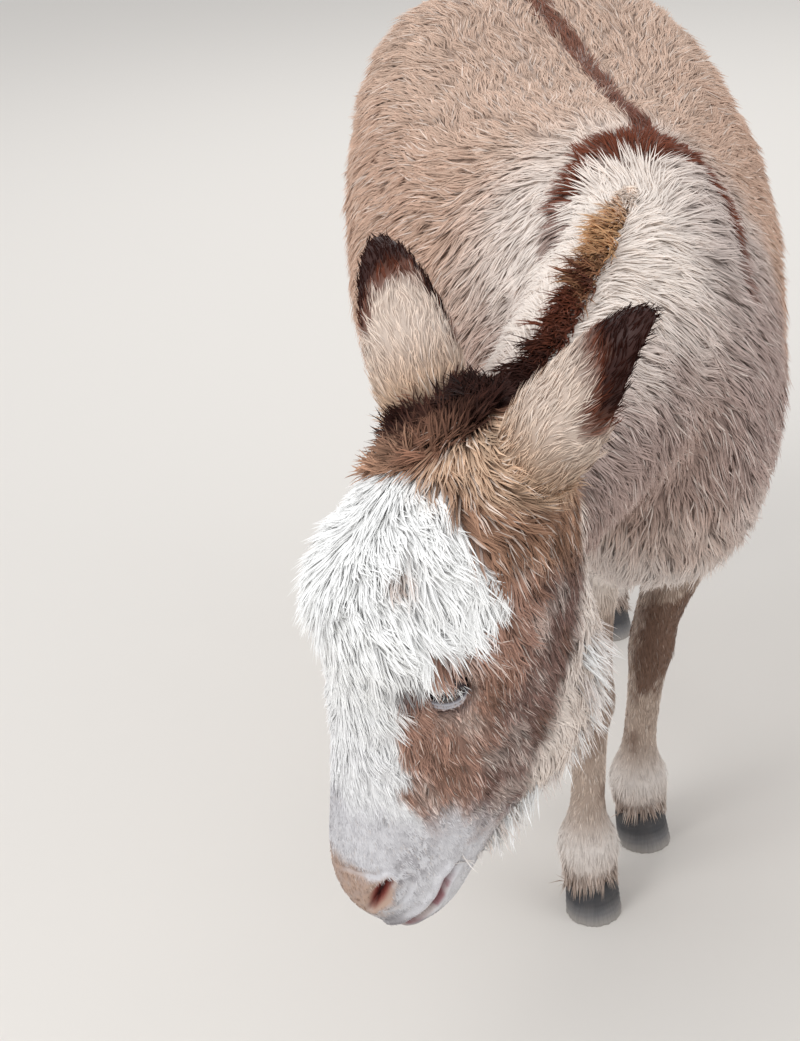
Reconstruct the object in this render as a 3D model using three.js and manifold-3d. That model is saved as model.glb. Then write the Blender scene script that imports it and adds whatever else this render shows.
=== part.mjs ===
// A miniature donkey in its winter coat, standing with its head lowered and turned to its right.
// Millimetres, +Z up. The animal faces -Y, its left side is +X, and its four hooves stand on z = 0.
// Every outline is the outline of the coat. The frame's origin lies on the ground under the middle of
// the whole animal, and the body is laid out from a point on the ground below the withers.
import * as THREE from "three";
import { mergeVertices } from "three/addons/utils/BufferGeometryUtils.js";
import Module from "manifold-3d";

const wasm = await Module();
wasm.setup();

// Driving dimensions.
const SEAM = 0.35; // gap left between neighbouring pieces
const ORIGIN_SHIFT = [73, -155]; // from below the withers to below the middle of the animal
const POLL = [-273, -348, 713]; // top of the skull, between the ears
const HEAD_TURN = { right: 71.5, down: 71, tilt: 8 }; // degrees
const EYE = {
  radius: 16.5,
  along: 171,
  out: 70,
  below: 41,
  socket: { deep: 16, long: 22, high: 15, inset: 0.45 }, // inset is a share of deep
};
const HOOF = {
  length: 68,
  width: 61,
  height: 47,
  heel: 25, // height of the wall at the heel
  lean: 50, // angle of the front wall, degrees
  leanShare: 0.55, // share of that lean that carries the coronet back
  coronet: 0.9, // size of the coronet beside the sole
  heelNarrow: 0.12,
  heelShort: 0.16,
  heelSpread: 0.9, // how gradually the wall's top falls from toe to heel
  ahead: 10, // middle of the sole ahead of the leg's lowest joint
  turnedOut: 6, // degrees
  steps: 3,
};
const MANE_ROOT = { sunk: 14, below: 6 }; // how far the mane's foot reaches into the crest
const LEG_SQUARE = 2.2;
const SIDES = { trunk: 26, neck: 24, head: 24, eye: 14, leg: 14, hoof: 16, mane: 10, tail: 9 };
const BALL_ROWS = 9;
const WELD = 1e-3; // points closer than this are one point
const SLIVER = 0.02; // detail smaller than this is left out

const SKIN = { color: 0xb9a594, roughness: 0.95, metalness: 0 };
const COLOURS = {
  trunk: { color: 0xbfab9b, roughness: 0.95, metalness: 0 },
  neck: { color: 0xb8a79b, roughness: 0.95, metalness: 0 },
  head: { color: 0xe4dfda, roughness: 0.9, metalness: 0 },
  ear: { color: 0xcfb496, roughness: 0.95, metalness: 0 },
  leg: SKIN,
  mane: { color: 0x5a3a28, roughness: 0.9, metalness: 0 },
  tail: { color: 0x7a5c48, roughness: 0.95, metalness: 0 },
  hoof: { color: 0x3c4046, roughness: 0.5, metalness: 0 },
  eye: { color: 0x0c0a0c, roughness: 0.08, metalness: 0 },
};

const X = new THREE.Vector3(1, 0, 0);
const Y = new THREE.Vector3(0, 1, 0);
const Z = new THREE.Vector3(0, 0, 1);
const vector = (p) => new THREE.Vector3(...p);
const radians = THREE.MathUtils.degToRad;
const smooth = THREE.MathUtils.smoothstep;

// Raises the size of a signed number to a power and keeps its sign.
const signedPower = (value, power) => Math.sign(value) * Math.abs(value) ** power;

// Reads a list of stations at one place: every number in them runs in a smooth curve through the list.
function between(stations, place) {
  let i = stations.findIndex((s) => s.at > place) - 1;
  if (i < -1) i = stations.length - 2;
  i = Math.max(0, Math.min(stations.length - 2, i));
  const [a, b] = [stations[i], stations[i + 1]];
  const before = stations[i - 1] ?? a;
  const after = stations[i + 2] ?? b;
  const span = b.at - a.at;
  const t = (place - a.at) / span;
  const found = {};
  for (const key of Object.keys(a)) {
    const slopeA = ((b[key] - before[key]) / (b.at - before.at)) * span;
    const slopeB = ((after[key] - a[key]) / (after.at - a.at)) * span;
    found[key] =
      (2 * t ** 3 - 3 * t ** 2 + 1) * a[key] +
      (t ** 3 - 2 * t ** 2 + t) * slopeA +
      (3 * t ** 2 - 2 * t ** 3) * b[key] +
      (t ** 3 - t ** 2) * slopeB;
  }
  return found;
}

// Places from the first station to the last: every station, with extra ones in between.
function placesAlong(stations, extra) {
  const places = [];
  stations.slice(1).forEach((next, i) => {
    for (let k = 0; k <= extra; k++)
      places.push(stations[i].at + ((next.at - stations[i].at) * k) / (extra + 1));
  });
  return [...places, stations.at(-1).at];
}

// One ring round a point. side and up are unit vectors; the ring reaches half to both sides, above and
// below. square is 2 for an ellipse and more for a boxy ring, and taper narrows its lower half.
function ring(centre, side, up, size, sides) {
  const { half, above, below, square = 2, taper = 1, pinch = 1 } = size;
  const points = [];
  for (let i = 0; i < sides; i++) {
    const angle = (2 * Math.PI * i) / sides;
    const across = signedPower(Math.cos(angle), 2 / square);
    const rise = signedPower(Math.sin(angle), 2 / square);
    const narrow = rise < 0 ? 1 - (1 - taper) * rise ** 2 : 1 - (1 - pinch) * rise ** 2;
    points.push(
      centre
        .clone()
        .addScaledVector(side, half * across * narrow)
        .addScaledVector(up, (rise < 0 ? below : above) * rise),
    );
  }
  return points;
}

// A closed surface through rings with the same number of points, each end closed by a fan.
function through(rings) {
  const sides = rings[0].length;
  const middle = (points) =>
    points.reduce((sum, p) => sum.add(p), new THREE.Vector3()).divideScalar(sides);
  const points = [...rings.flat(), middle(rings[0]), middle(rings.at(-1))];
  const [firstMiddle, lastMiddle] = [points.length - 2, points.length - 1];
  const last = (rings.length - 1) * sides;
  const faces = [];
  for (let i = 0; i < sides; i++) {
    const j = (i + 1) % sides;
    for (let row = 0; row < last; row += sides)
      faces.push(row + i, row + j, row + sides + j, row + i, row + sides + j, row + sides + i);
    faces.push(firstMiddle, j, i, lastMiddle, last + i, last + j);
  }
  const geometry = new THREE.BufferGeometry().setFromPoints(points);
  geometry.setIndex(faces);
  return geometry;
}

// Turns a closed geometry into a solid that can be joined and cut, whichever way its faces pointed.
function solid(geometry) {
  const bare = geometry.clone();
  bare.deleteAttribute("normal");
  bare.deleteAttribute("uv");
  const merged = mergeVertices(bare, WELD);
  const triVerts = new Uint32Array(merged.index.array);
  const vertProperties = merged.attributes.position.array;
  const make = () => new wasm.Manifold(new wasm.Mesh({ numProp: 3, vertProperties, triVerts }));
  const made = make();
  if (made.volume() > 0) return made;
  for (let i = 0; i < triVerts.length; i += 3)
    [triVerts[i + 1], triVerts[i + 2]] = [triVerts[i + 2], triVerts[i + 1]];
  return make();
}

// The largest body of a solid as a named mesh, without the slivers that a cut can leave.
function mesh(name, shape, look) {
  const whole = shape.decompose().sort((a, b) => b.volume() - a.volume())[0];
  const { vertProperties, triVerts } = whole.simplify(SLIVER).getMesh();
  const geometry = new THREE.BufferGeometry();
  geometry.setAttribute("position", new THREE.BufferAttribute(vertProperties, 3));
  geometry.setIndex(new THREE.BufferAttribute(triVerts, 1));
  geometry.computeVertexNormals();
  const made = new THREE.Mesh(geometry, new THREE.MeshStandardMaterial(look));
  made.name = name;
  return made;
}

// ---- Trunk -----------------------------------------------------------------------------------------
// at is the distance behind the withers, top and bottom are heights, half is half the width, and waist
// is the height of the widest place.
const TRUNK = [
  { at: -172, top: 646, bottom: 534, half: 40, waist: 588, side: -16, square: 2, pinch: 0.9 },
  { at: -158, top: 692, bottom: 482, half: 76, waist: 582, side: -18, square: 2.1, pinch: 0.9 },
  { at: -120, top: 752, bottom: 438, half: 104, waist: 580, side: -20, square: 2.2, pinch: 0.85 },
  { at: -70, top: 808, bottom: 416, half: 130, waist: 582, side: -21, square: 2.2, pinch: 0.8 },
  { at: 0, top: 853, bottom: 404, half: 155, waist: 588, side: -18, square: 2.1, pinch: 0.75 },
  { at: 90, top: 858, bottom: 396, half: 190, waist: 594, side: -26, square: 2.1, pinch: 0.85 },
  { at: 200, top: 852, bottom: 386, half: 225, waist: 594, side: -28, square: 2.15, pinch: 0.95 },
  { at: 330, top: 864, bottom: 384, half: 243, waist: 596, side: -16, square: 2.25, pinch: 1 },
  { at: 450, top: 892, bottom: 408, half: 240, waist: 612, side: -10, square: 2.35, pinch: 1 },
  { at: 550, top: 904, bottom: 450, half: 222, waist: 646, side: -10, square: 2.4, pinch: 1 },
  { at: 630, top: 888, bottom: 490, half: 194, waist: 668, side: -12, square: 2.3, pinch: 0.97 },
  { at: 690, top: 834, bottom: 524, half: 144, waist: 668, side: -14, square: 2.1, pinch: 0.95 },
  { at: 718, top: 772, bottom: 576, half: 76, waist: 668, side: -14, square: 2, pinch: 0.95 },
];

function trunk(grow) {
  const rings = placesAlong(TRUNK, 1).map((place) => {
    const s = between(TRUNK, place);
    const size = {
      half: s.half + grow,
      above: s.top - s.waist + grow,
      below: s.waist - s.bottom + grow,
      square: s.square,
      pinch: s.pinch,
    };
    return ring(new THREE.Vector3(s.side, place, s.waist), X, Z, size, SIDES.trunk);
  });
  rings[0].forEach((p) => (p.y -= grow));
  rings.at(-1).forEach((p) => (p.y += grow));
  return solid(through(rings));
}

// ---- Neck ------------------------------------------------------------------------------------------
const NECK_LINE = new THREE.CatmullRomCurve3(
  [
    [-16, 40, 650],
    [-38, -66, 664],
    [-98, -164, 664],
    [-152, -238, 648],
    [-196, -290, 628],
    [-232, -322, 610],
  ].map(vector),
);
const NECK = [
  { at: 0, half: 132, above: 176, below: 160, square: 2.1, taper: 0.9, pinch: 0.7 },
  { at: 0.22, half: 118, above: 158, below: 158, square: 2.1, taper: 0.85, pinch: 0.64 },
  { at: 0.45, half: 98, above: 128, below: 132, square: 2.1, taper: 0.8, pinch: 0.6 },
  { at: 0.7, half: 83, above: 104, below: 108, square: 2.1, taper: 0.8, pinch: 0.6 },
  { at: 0.9, half: 75, above: 88, below: 90, square: 2.1, taper: 0.85, pinch: 0.7 },
  { at: 1, half: 68, above: 74, below: 76, square: 2, taper: 0.9, pinch: 0.75 },
];

function neckFrame(t) {
  const forward = NECK_LINE.getTangentAt(t);
  const side = Z.clone().cross(forward).normalize();
  return { centre: NECK_LINE.getPointAt(t), side, up: forward.clone().cross(side) };
}

function neck(grow) {
  const rings = placesAlong(NECK, 1).map((t) => {
    const s = between(NECK, t);
    const { centre, side, up } = neckFrame(t);
    const size = { ...s, half: s.half + grow, above: s.above + grow, below: s.below + grow };
    return ring(centre, side, up, size, SIDES.neck);
  });
  return solid(through(rings));
}

// ---- Head ------------------------------------------------------------------------------------------
// The head is laid out level, with the poll at its origin, the muzzle towards -Y and the face on top.
const HEAD_PLACE = new THREE.Matrix4().compose(
  vector(POLL),
  new THREE.Quaternion().setFromEuler(
    new THREE.Euler(
      radians(HEAD_TURN.down),
      radians(-HEAD_TURN.tilt),
      radians(-HEAD_TURN.right),
      "ZXY",
    ),
  ),
  new THREE.Vector3(1, 1, 1),
);
// at is the distance from the poll towards the muzzle, top and bottom are heights from the face line.
const HEAD = [
  { at: -46, top: -40, bottom: -105, half: 42, waist: -72, square: 2, taper: 0.9 },
  { at: -30, top: -14, bottom: -124, half: 64, waist: -68, square: 2.1, taper: 0.85 },
  { at: 10, top: 16, bottom: -145, half: 80, waist: -56, square: 2.3, taper: 0.75 },
  { at: 60, top: 40, bottom: -164, half: 90, waist: -46, square: 2.5, taper: 0.66 },
  { at: 105, top: 58, bottom: -184, half: 96, waist: -40, square: 2.6, taper: 0.58 },
  { at: 150, top: 54, bottom: -202, half: 96, waist: -40, square: 2.6, taper: 0.54 },
  { at: 190, top: 34, bottom: -212, half: 84, waist: -44, square: 2.5, taper: 0.54 },
  { at: 225, top: 21, bottom: -209, half: 73, waist: -50, square: 2.4, taper: 0.56 },
  { at: 262, top: 11, bottom: -188, half: 64, waist: -58, square: 2.3, taper: 0.62 },
  { at: 300, top: 3, bottom: -161, half: 59, waist: -64, square: 2.3, taper: 0.7 },
  { at: 336, top: -4, bottom: -142, half: 58, waist: -68, square: 2.3, taper: 0.78 },
  { at: 370, top: -13, bottom: -130, half: 55, waist: -72, square: 2.3, taper: 0.8 },
  { at: 394, top: -28, bottom: -116, half: 45, waist: -72, square: 2.2, taper: 0.8 },
  { at: 408, top: -50, bottom: -96, half: 24, waist: -73, square: 2, taper: 0.9 },
];

function head(grow) {
  const rings = placesAlong(HEAD, 1).map((place) => {
    const s = between(HEAD, place);
    const size = {
      half: s.half + grow,
      above: s.top - s.waist + grow,
      below: s.waist - s.bottom + grow,
      square: s.square,
      taper: s.taper,
    };
    return ring(new THREE.Vector3(0, -place, s.waist), X, Z, size, SIDES.head);
  });
  return solid(through(rings).applyMatrix4(HEAD_PLACE));
}

function eye(sign, grow) {
  const ball = new THREE.SphereGeometry(EYE.radius + grow, SIDES.eye, BALL_ROWS);
  ball.translate(sign * EYE.out, -EYE.along, -EYE.below);
  return solid(ball.applyMatrix4(HEAD_PLACE));
}

// The dip in the coat in front of an eye, longer along the head than it is high.
function socket(sign) {
  const { deep, long, high, inset } = EYE.socket;
  const dip = new THREE.SphereGeometry(1, SIDES.eye, BALL_ROWS).scale(deep, long, high);
  dip.translate(sign * (EYE.out + EYE.radius + deep * inset), -EYE.along, -EYE.below);
  return solid(dip.applyMatrix4(HEAD_PLACE));
}

// ---- Ears ------------------------------------------------------------------------------------------
// An ear is a leaf rolled round its own length: a tube at its root that opens towards the tip.
// tip and facing are given in the head's own layout.
const EAR = { wall: 8, columns: 7 };
const EAR_SHAPE = [
  { at: 0, radius: 26, roll: 2.6 },
  { at: 0.15, radius: 33, roll: 2.5 },
  { at: 0.35, radius: 36, roll: 2.1 },
  { at: 0.55, radius: 34, roll: 1.75 },
  { at: 0.75, radius: 28, roll: 1.4 },
  { at: 0.9, radius: 20, roll: 1.15 },
  { at: 1, radius: 7, roll: 1 },
];
const EARS = {
  ear_left: { root: [46, -10, -64], tip: [128, 160, -112], facing: [-0.23, -0.26, -0.94] },
  ear_right: { root: [-46, -6, -38], tip: [-170, 128, 6], facing: [-0.95, -0.2, -0.25] },
};

function ear({ root, tip, facing }) {
  const axis = vector(tip).sub(vector(root));
  const length = axis.length();
  axis.normalize();
  const side = vector(facing).cross(axis).normalize();
  const open = axis.clone().cross(side).normalize();
  const places = placesAlong(EAR_SHAPE, 1);
  const sheet = (outward) => {
    const points = [];
    for (const t of places) {
      const { radius, roll } = between(EAR_SHAPE, t);
      const middle = vector(root).addScaledVector(axis, length * t);
      for (let k = 0; k <= EAR.columns; k++) {
        const angle = roll * ((2 * k) / EAR.columns - 1);
        const reach = radius + outward * (EAR.wall / 2);
        points.push(
          middle
            .clone()
            .addScaledVector(side, reach * Math.sin(angle))
            .addScaledVector(open, -reach * Math.cos(angle)),
        );
      }
    }
    return points;
  };
  return solid(walled(sheet(1), sheet(-1), places.length - 1, EAR.columns).applyMatrix4(HEAD_PLACE));
}

// A closed wall between two grids of points, each with rows + 1 lines of columns + 1 points.
function walled(outer, inner, rows, columns) {
  const width = columns + 1;
  const at = (row, column) => row * width + column;
  const faces = [];
  const quad = (a, b, c, d) => faces.push(a, b, c, a, c, d);
  for (let i = 0; i < rows; i++)
    for (let k = 0; k < columns; k++) {
      const corners = [at(i, k), at(i, k + 1), at(i + 1, k + 1), at(i + 1, k)];
      quad(...corners);
      quad(...corners.map((c) => c + outer.length).reverse());
    }
  const rim = [];
  for (let k = 0; k < columns; k++) rim.push(at(0, k));
  for (let i = 0; i < rows; i++) rim.push(at(i, columns));
  for (let k = columns; k > 0; k--) rim.push(at(rows, k));
  for (let i = rows; i > 0; i--) rim.push(at(i, 0));
  rim.forEach((a, i) => {
    const b = rim[(i + 1) % rim.length];
    quad(b, a, a + outer.length, b + outer.length);
  });
  const geometry = new THREE.BufferGeometry().setFromPoints([...outer, ...inner]);
  geometry.setIndex(faces);
  return geometry;
}

// ---- Legs and hooves -------------------------------------------------------------------------------
// A leg runs down through joints. half is half its width, front and back are its reach that way.
const FORELEG = {
  top: { half: 58, front: 80, back: 78 },
  elbow: { half: 46, front: 58, back: 66 },
  forearm: { half: 32, front: 40, back: 44 },
  aboveKnee: { half: 27, front: 32, back: 33 },
  knee: { half: 28, front: 34, back: 31 },
  belowKnee: { half: 23, front: 26, back: 29 },
  cannon: { half: 21, front: 23, back: 27 },
  lowCannon: { half: 23, front: 25, back: 29 },
  fetlock: { half: 36, front: 31, back: 39 },
  pastern: { half: 34, front: 29, back: 33 },
  coronet: { half: 31, front: 31, back: 29 },
  heel: { half: 27, front: 20, back: 30 },
};
const HINDLEG = {
  top: { half: 80, front: 130, back: 110 },
  thigh: { half: 76, front: 118, back: 100 },
  stifle: { half: 60, front: 84, back: 76 },
  gaskin: { half: 42, front: 50, back: 48 },
  hock: { half: 32, front: 37, back: 43 },
  belowHock: { half: 27, front: 30, back: 34 },
  cannon: { half: 23, front: 25, back: 28 },
  lowCannon: { half: 24, front: 26, back: 30 },
  fetlock: { half: 35, front: 31, back: 39 },
  pastern: { half: 33, front: 29, back: 33 },
  coronet: { half: 31, front: 31, back: 29 },
  heel: { half: 27, front: 20, back: 30 },
};
// The joints of each leg, by name, as places from the point below the withers.
const LEGS = {
  foreleg_left: {
    shape: FORELEG,
    joints: {
      top: [70, 20, 530],
      elbow: [58, 50, 440],
      forearm: [34, 76, 350],
      aboveKnee: [18, 94, 290],
      knee: [13, 100, 254],
      belowKnee: [10, 110, 216],
      cannon: [6, 124, 156],
      lowCannon: [3, 131, 110],
      fetlock: [2, 133, 78],
      pastern: [1, 128, 58],
      coronet: [1, 126, 42],
      heel: [1, 128, 18],
    },
  },
  foreleg_right: {
    shape: FORELEG,
    joints: {
      top: [-72, 0, 530],
      elbow: [-72, 18, 440],
      forearm: [-74, 14, 350],
      aboveKnee: [-73, 12, 288],
      knee: [-73, 8, 254],
      belowKnee: [-75, 14, 216],
      cannon: [-77, 18, 156],
      lowCannon: [-80, 20, 110],
      fetlock: [-81, 18, 78],
      pastern: [-82, 11, 58],
      coronet: [-83, 6, 42],
      heel: [-83, 8, 18],
    },
  },
  hindleg_left: {
    shape: HINDLEG,
    joints: {
      top: [88, 590, 620],
      thigh: [90, 590, 540],
      stifle: [88, 588, 466],
      gaskin: [82, 624, 388],
      hock: [77, 664, 320],
      belowHock: [75, 664, 268],
      cannon: [74, 654, 180],
      lowCannon: [73, 645, 116],
      fetlock: [73, 636, 82],
      pastern: [73, 624, 60],
      coronet: [73, 618, 42],
      heel: [73, 620, 18],
    },
  },
  hindleg_right: {
    shape: HINDLEG,
    joints: {
      top: [-110, 572, 620],
      thigh: [-112, 568, 540],
      stifle: [-110, 556, 466],
      gaskin: [-103, 584, 388],
      hock: [-97, 618, 320],
      belowHock: [-95, 616, 268],
      cannon: [-94, 602, 180],
      lowCannon: [-93, 593, 116],
      fetlock: [-93, 584, 82],
      pastern: [-93, 572, 60],
      coronet: [-93, 566, 42],
      heel: [-93, 568, 18],
    },
  },
};

function leg({ shape, joints }, grow) {
  const names = Object.keys(joints);
  const stations = names.map((name, i) => ({ at: i, ...shape[name] }));
  const line = names.map((name, i) => {
    const [x, y, z] = joints[name];
    return { at: i, x, y, z };
  });
  const rings = placesAlong(stations, 1).map((place) => {
    const s = between(stations, place);
    const at = between(line, place);
    const middle = (s.back - s.front) / 2;
    const reach = (s.front + s.back) / 2 + grow;
    const size = { half: s.half + grow, above: reach, below: reach, square: LEG_SQUARE };
    return ring(new THREE.Vector3(at.x, at.y + middle, at.z), X, Y, size, SIDES.leg);
  });
  return solid(through(rings));
}

// A hoof: a rounded wall that leans forward, widest on the ground, with a low heel.
function hoof(x, y, turn, grow) {
  const { heelNarrow, heelShort, heelSpread, steps } = HOOF;
  const rings = [];
  for (let i = 0; i <= steps; i++) {
    const t = i / steps;
    const size = 1 - (1 - HOOF.coronet) * t;
    const points = [];
    for (let k = 0; k < SIDES.hoof; k++) {
      const angle = (2 * Math.PI * k) / SIDES.hoof;
      const back = Math.sin(angle);
      const heel = Math.max(0, back);
      const fall = (HOOF.height - HOOF.heel) * smooth(back, -heelSpread, heelSpread);
      const height = (HOOF.height - fall) * t;
      const lean = (height / Math.tan(radians(HOOF.lean))) * HOOF.leanShare;
      points.push(
        new THREE.Vector3(
          (HOOF.width / 2 + grow) * size * Math.cos(angle) * (1 - heelNarrow * heel),
          (HOOF.length / 2 + grow) * size * back * (1 - heelShort * heel) + lean,
          height + (i === steps ? grow : 0),
        ),
      );
    }
    rings.push(points);
  }
  return solid(through(rings).rotateZ(radians(turn)).translate(x, y, 0));
}

// ---- Mane and tail ------------ -----------------------------------------------------------------------
// The mane stands along the crest of the neck, from between the ears back to the withers.
const MANE = [
  { at: 0, t: 1.0, height: 20, half: 20 },
  { at: 1, t: 0.93, height: 28, half: 20 },
  { at: 2, t: 0.8, height: 30, half: 18 },
  { at: 3, t: 0.62, height: 30, half: 17 },
  { at: 4, t: 0.44, height: 28, half: 16 },
  { at: 5, t: 0.3, height: 22, half: 15 },
  { at: 6, t: 0.2, height: 12, half: 12 },
];

function mane() {
  const rings = placesAlong(MANE, 1).map((place) => {
    const s = between(MANE, place);
    const { centre, side, up } = neckFrame(Math.min(1, s.t));
    const crest = between(NECK, Math.min(1, s.t)).above;
    const root = centre.clone().addScaledVector(up, crest - MANE_ROOT.sunk);
    const above = s.height + MANE_ROOT.sunk;
    const size = { half: s.half, above, below: MANE_ROOT.below, pinch: 0.45 };
    return ring(root, side, up, size, SIDES.mane);
  });
  return solid(through(rings));
}

const TAIL_LINE = new THREE.CatmullRomCurve3(
  [
    [-14, 676, 806],
    [-14, 716, 782],
    [-14, 742, 726],
    [-13, 748, 640],
    [-12, 744, 540],
    [-12, 738, 430],
    [-12, 736, 318],
  ].map(vector),
);
const TAIL = [
  { at: 0, half: 28 },
  { at: 0.15, half: 25 },
  { at: 0.4, half: 17 },
  { at: 0.6, half: 18 },
  { at: 0.78, half: 28 },
  { at: 0.92, half: 22 },
  { at: 1, half: 6 },
];

function tail() {
  const rings = placesAlong(TAIL, 1).map((t) => {
    const { half } = between(TAIL, t);
    const forward = TAIL_LINE.getTangentAt(t);
    const up = forward.clone().cross(X).normalize();
    return ring(TAIL_LINE.getPointAt(t), X, up, { half, above: half, below: half }, SIDES.tail);
  });
  return solid(through(rings));
}

// ---- Assembly --------------------------------------------------------------------------------------
const donkey = new THREE.Group();
donkey.name = "donkey";

const grownTrunk = trunk(SEAM);
const grownNeck = neck(SEAM).add(grownTrunk);
const grownHead = head(SEAM);
donkey.add(mesh("trunk", trunk(0), COLOURS.trunk));
donkey.add(mesh("neck", neck(0).subtract(grownTrunk).subtract(grownHead), COLOURS.neck));

let skull = head(0);
for (const [name, sign] of [["eye_left", 1], ["eye_right", -1]]) {
  skull = skull.subtract(eye(sign, SEAM)).subtract(socket(sign));
  donkey.add(mesh(name, eye(sign, 0), COLOURS.eye));
}
donkey.add(mesh("head", skull, COLOURS.head));

const crest = mane().subtract(grownNeck).subtract(grownHead);
for (const [name, made] of Object.entries(EARS)) {
  const leaf = ear(made);
  donkey.add(mesh(name, leaf.subtract(grownHead).subtract(grownNeck), COLOURS.ear));
}
donkey.add(mesh("mane", crest, COLOURS.mane));

for (const [name, made] of Object.entries(LEGS)) {
  const [x, y] = made.joints.coronet;
  const place = [x, y - HOOF.ahead, Math.sign(x) * HOOF.turnedOut];
  donkey.add(mesh(name, leg(made, 0).subtract(grownTrunk).subtract(hoof(...place, SEAM)), COLOURS.leg));
  donkey.add(mesh(name.replace("leg", "hoof"), hoof(...place, 0), COLOURS.hoof));
}
donkey.add(mesh("tail", tail().subtract(grownTrunk), COLOURS.tail));

donkey.position.set(...ORIGIN_SHIFT, 0);
const root = new THREE.Group();
root.add(donkey);
root.updateMatrixWorld(true);

export default root;
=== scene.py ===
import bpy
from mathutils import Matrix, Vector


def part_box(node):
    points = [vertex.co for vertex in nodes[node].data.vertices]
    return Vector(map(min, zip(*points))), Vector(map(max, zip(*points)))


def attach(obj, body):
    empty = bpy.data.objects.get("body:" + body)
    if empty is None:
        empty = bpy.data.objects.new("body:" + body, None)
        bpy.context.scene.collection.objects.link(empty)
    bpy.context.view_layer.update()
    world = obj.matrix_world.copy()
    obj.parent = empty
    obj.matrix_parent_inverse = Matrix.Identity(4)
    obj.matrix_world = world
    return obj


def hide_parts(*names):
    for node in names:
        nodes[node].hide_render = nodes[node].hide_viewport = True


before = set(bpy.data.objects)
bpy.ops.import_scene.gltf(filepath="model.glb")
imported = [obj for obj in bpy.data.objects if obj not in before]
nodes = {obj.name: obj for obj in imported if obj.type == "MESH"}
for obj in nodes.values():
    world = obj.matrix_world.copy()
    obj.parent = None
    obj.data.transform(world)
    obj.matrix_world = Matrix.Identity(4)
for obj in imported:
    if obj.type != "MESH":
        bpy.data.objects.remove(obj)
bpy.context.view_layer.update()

import math
import bpy
import numpy as np
from mathutils import Matrix, Vector
from mathutils.bvhtree import BVHTree
from mathutils.kdtree import KDTree

rng = np.random.default_rng(41)

fleshNodes = ["trunk", "neck", "head", "ear_left", "ear_right",
              "foreleg_left", "foreleg_right", "hindleg_left", "hindleg_right"]
hoofNodes = ["forehoof_left", "forehoof_right", "hindhoof_left", "hindhoof_right"]

# The head is laid out level: x to its left, y back towards the poll, z out of the face.
headSettings = {
    "poll": (-0.200, -0.503, 0.713),
    "right": 71.5,          # degrees the head is turned,
    "down": 71.0,           # dropped
    "tilt": 8.0,            # and leant
    "eye": (0.070, -0.171, -0.041),
    "eyeRadius": 0.0165,
}


def headAxes():
    turn = Matrix.Rotation(math.radians(-headSettings["right"]), 3, "Z")
    drop = Matrix.Rotation(math.radians(headSettings["down"]), 3, "X")
    lean = Matrix.Rotation(math.radians(-headSettings["tilt"]), 3, "Y")
    return np.array(turn @ drop @ lean)


headMatrix = headAxes()
headPoll = np.array(headSettings["poll"])
eyeAt = np.array(headSettings["eye"])


def toHead(points):
    return (points - headPoll) @ headMatrix


def fromHead(points):
    return np.asarray(points, float) @ headMatrix.T + headPoll


def ramp(value, low, high):
    t = np.clip((value - low) / (high - low), 0, 1)
    return t * t * (3 - 2 * t)


def blob(points, centre, size):
    away = (points - np.array(centre)) / np.array(size)
    return np.exp(-np.sum(away * away, axis=1))


def lengthOf(vectors):
    return np.linalg.norm(vectors, axis=1)


def unit(vectors):
    return vectors / np.maximum(lengthOf(vectors)[:, None], 1e-9)


def dot(a, b):
    return np.sum(a * b, axis=1, keepdims=True)


def mix(colours, colour, amount):
    return colours + (np.array(colour) - colours) * amount[:, None]


def lineDistance(points, line, normals=None):
    # Distance to a polyline, and how far along it the nearest place is, from 0 to 1.
    # With normals, the distance is only what runs along the surface.
    line = np.array(line, float)
    lengths = lengthOf(np.diff(line, axis=0))
    starts = np.concatenate([[0], np.cumsum(lengths)])
    best = np.full(len(points), 1e9)
    surface = np.full(len(points), 1e9)
    place = np.zeros(len(points))
    for i in range(len(line) - 1):
        way = line[i + 1] - line[i]
        t = np.clip((points - line[i]) @ way / max(way @ way, 1e-12), 0, 1)
        away = points - line[i] - t[:, None] * way
        distance = lengthOf(away)
        nearer = distance < best
        best[nearer] = distance[nearer]
        place[nearer] = (starts[i] + t[nearer] * lengths[i]) / starts[-1]
        if normals is not None:
            away = away - normals * dot(away, normals)
            flat = lengthOf(away) + np.maximum(0, distance - 0.02)
            surface[nearer] = flat[nearer]
    return (best if normals is None else surface), place


def hashed(cells):
    mixed = cells[:, 0] * 73856093 ^ cells[:, 1] * 19349663 ^ cells[:, 2] * 83492791
    mixed = (mixed ^ (mixed >> 13)) * 1274126177
    return ((mixed ^ (mixed >> 16)) & 0xFFFF) / 65535.0


def cloud(points, size, shift=0):
    # Smooth lattice noise from 0 to 1, with features of the given size.
    place = points / size + shift * 17.37
    cell = np.floor(place).astype(np.int64)
    part = place - cell
    part = part * part * (3 - 2 * part)
    total = np.zeros(len(points))
    for corner in range(8):
        step = np.array([corner & 1, (corner >> 1) & 1, (corner >> 2) & 1])
        share = np.prod(np.where(step, part, 1 - part), axis=1)
        total += share * hashed(cell + step)
    return total


def only(obj):
    bpy.ops.object.select_all(action="DESELECT")
    obj.select_set(True)
    bpy.context.view_layer.objects.active = obj


def joinTo(target, others):
    only(target)
    for obj in others:
        obj.select_set(True)
    bpy.ops.object.join()


def wholeMesh(obj, operation, **values):
    # One of Blender's mesh operations, on all of an object.
    only(obj)
    bpy.ops.object.mode_set(mode="EDIT")
    bpy.ops.mesh.select_all(action="SELECT")
    operation(**values)
    bpy.ops.object.mode_set(mode="OBJECT")


def voxelled(obj, size):
    # One closed surface in place of whatever solids the object holds.
    only(obj)
    remesh = obj.modifiers.new("remesh", "REMESH")
    remesh.mode = "VOXEL"
    remesh.voxel_size = size
    bpy.ops.object.modifier_apply(modifier=remesh.name)


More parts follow.
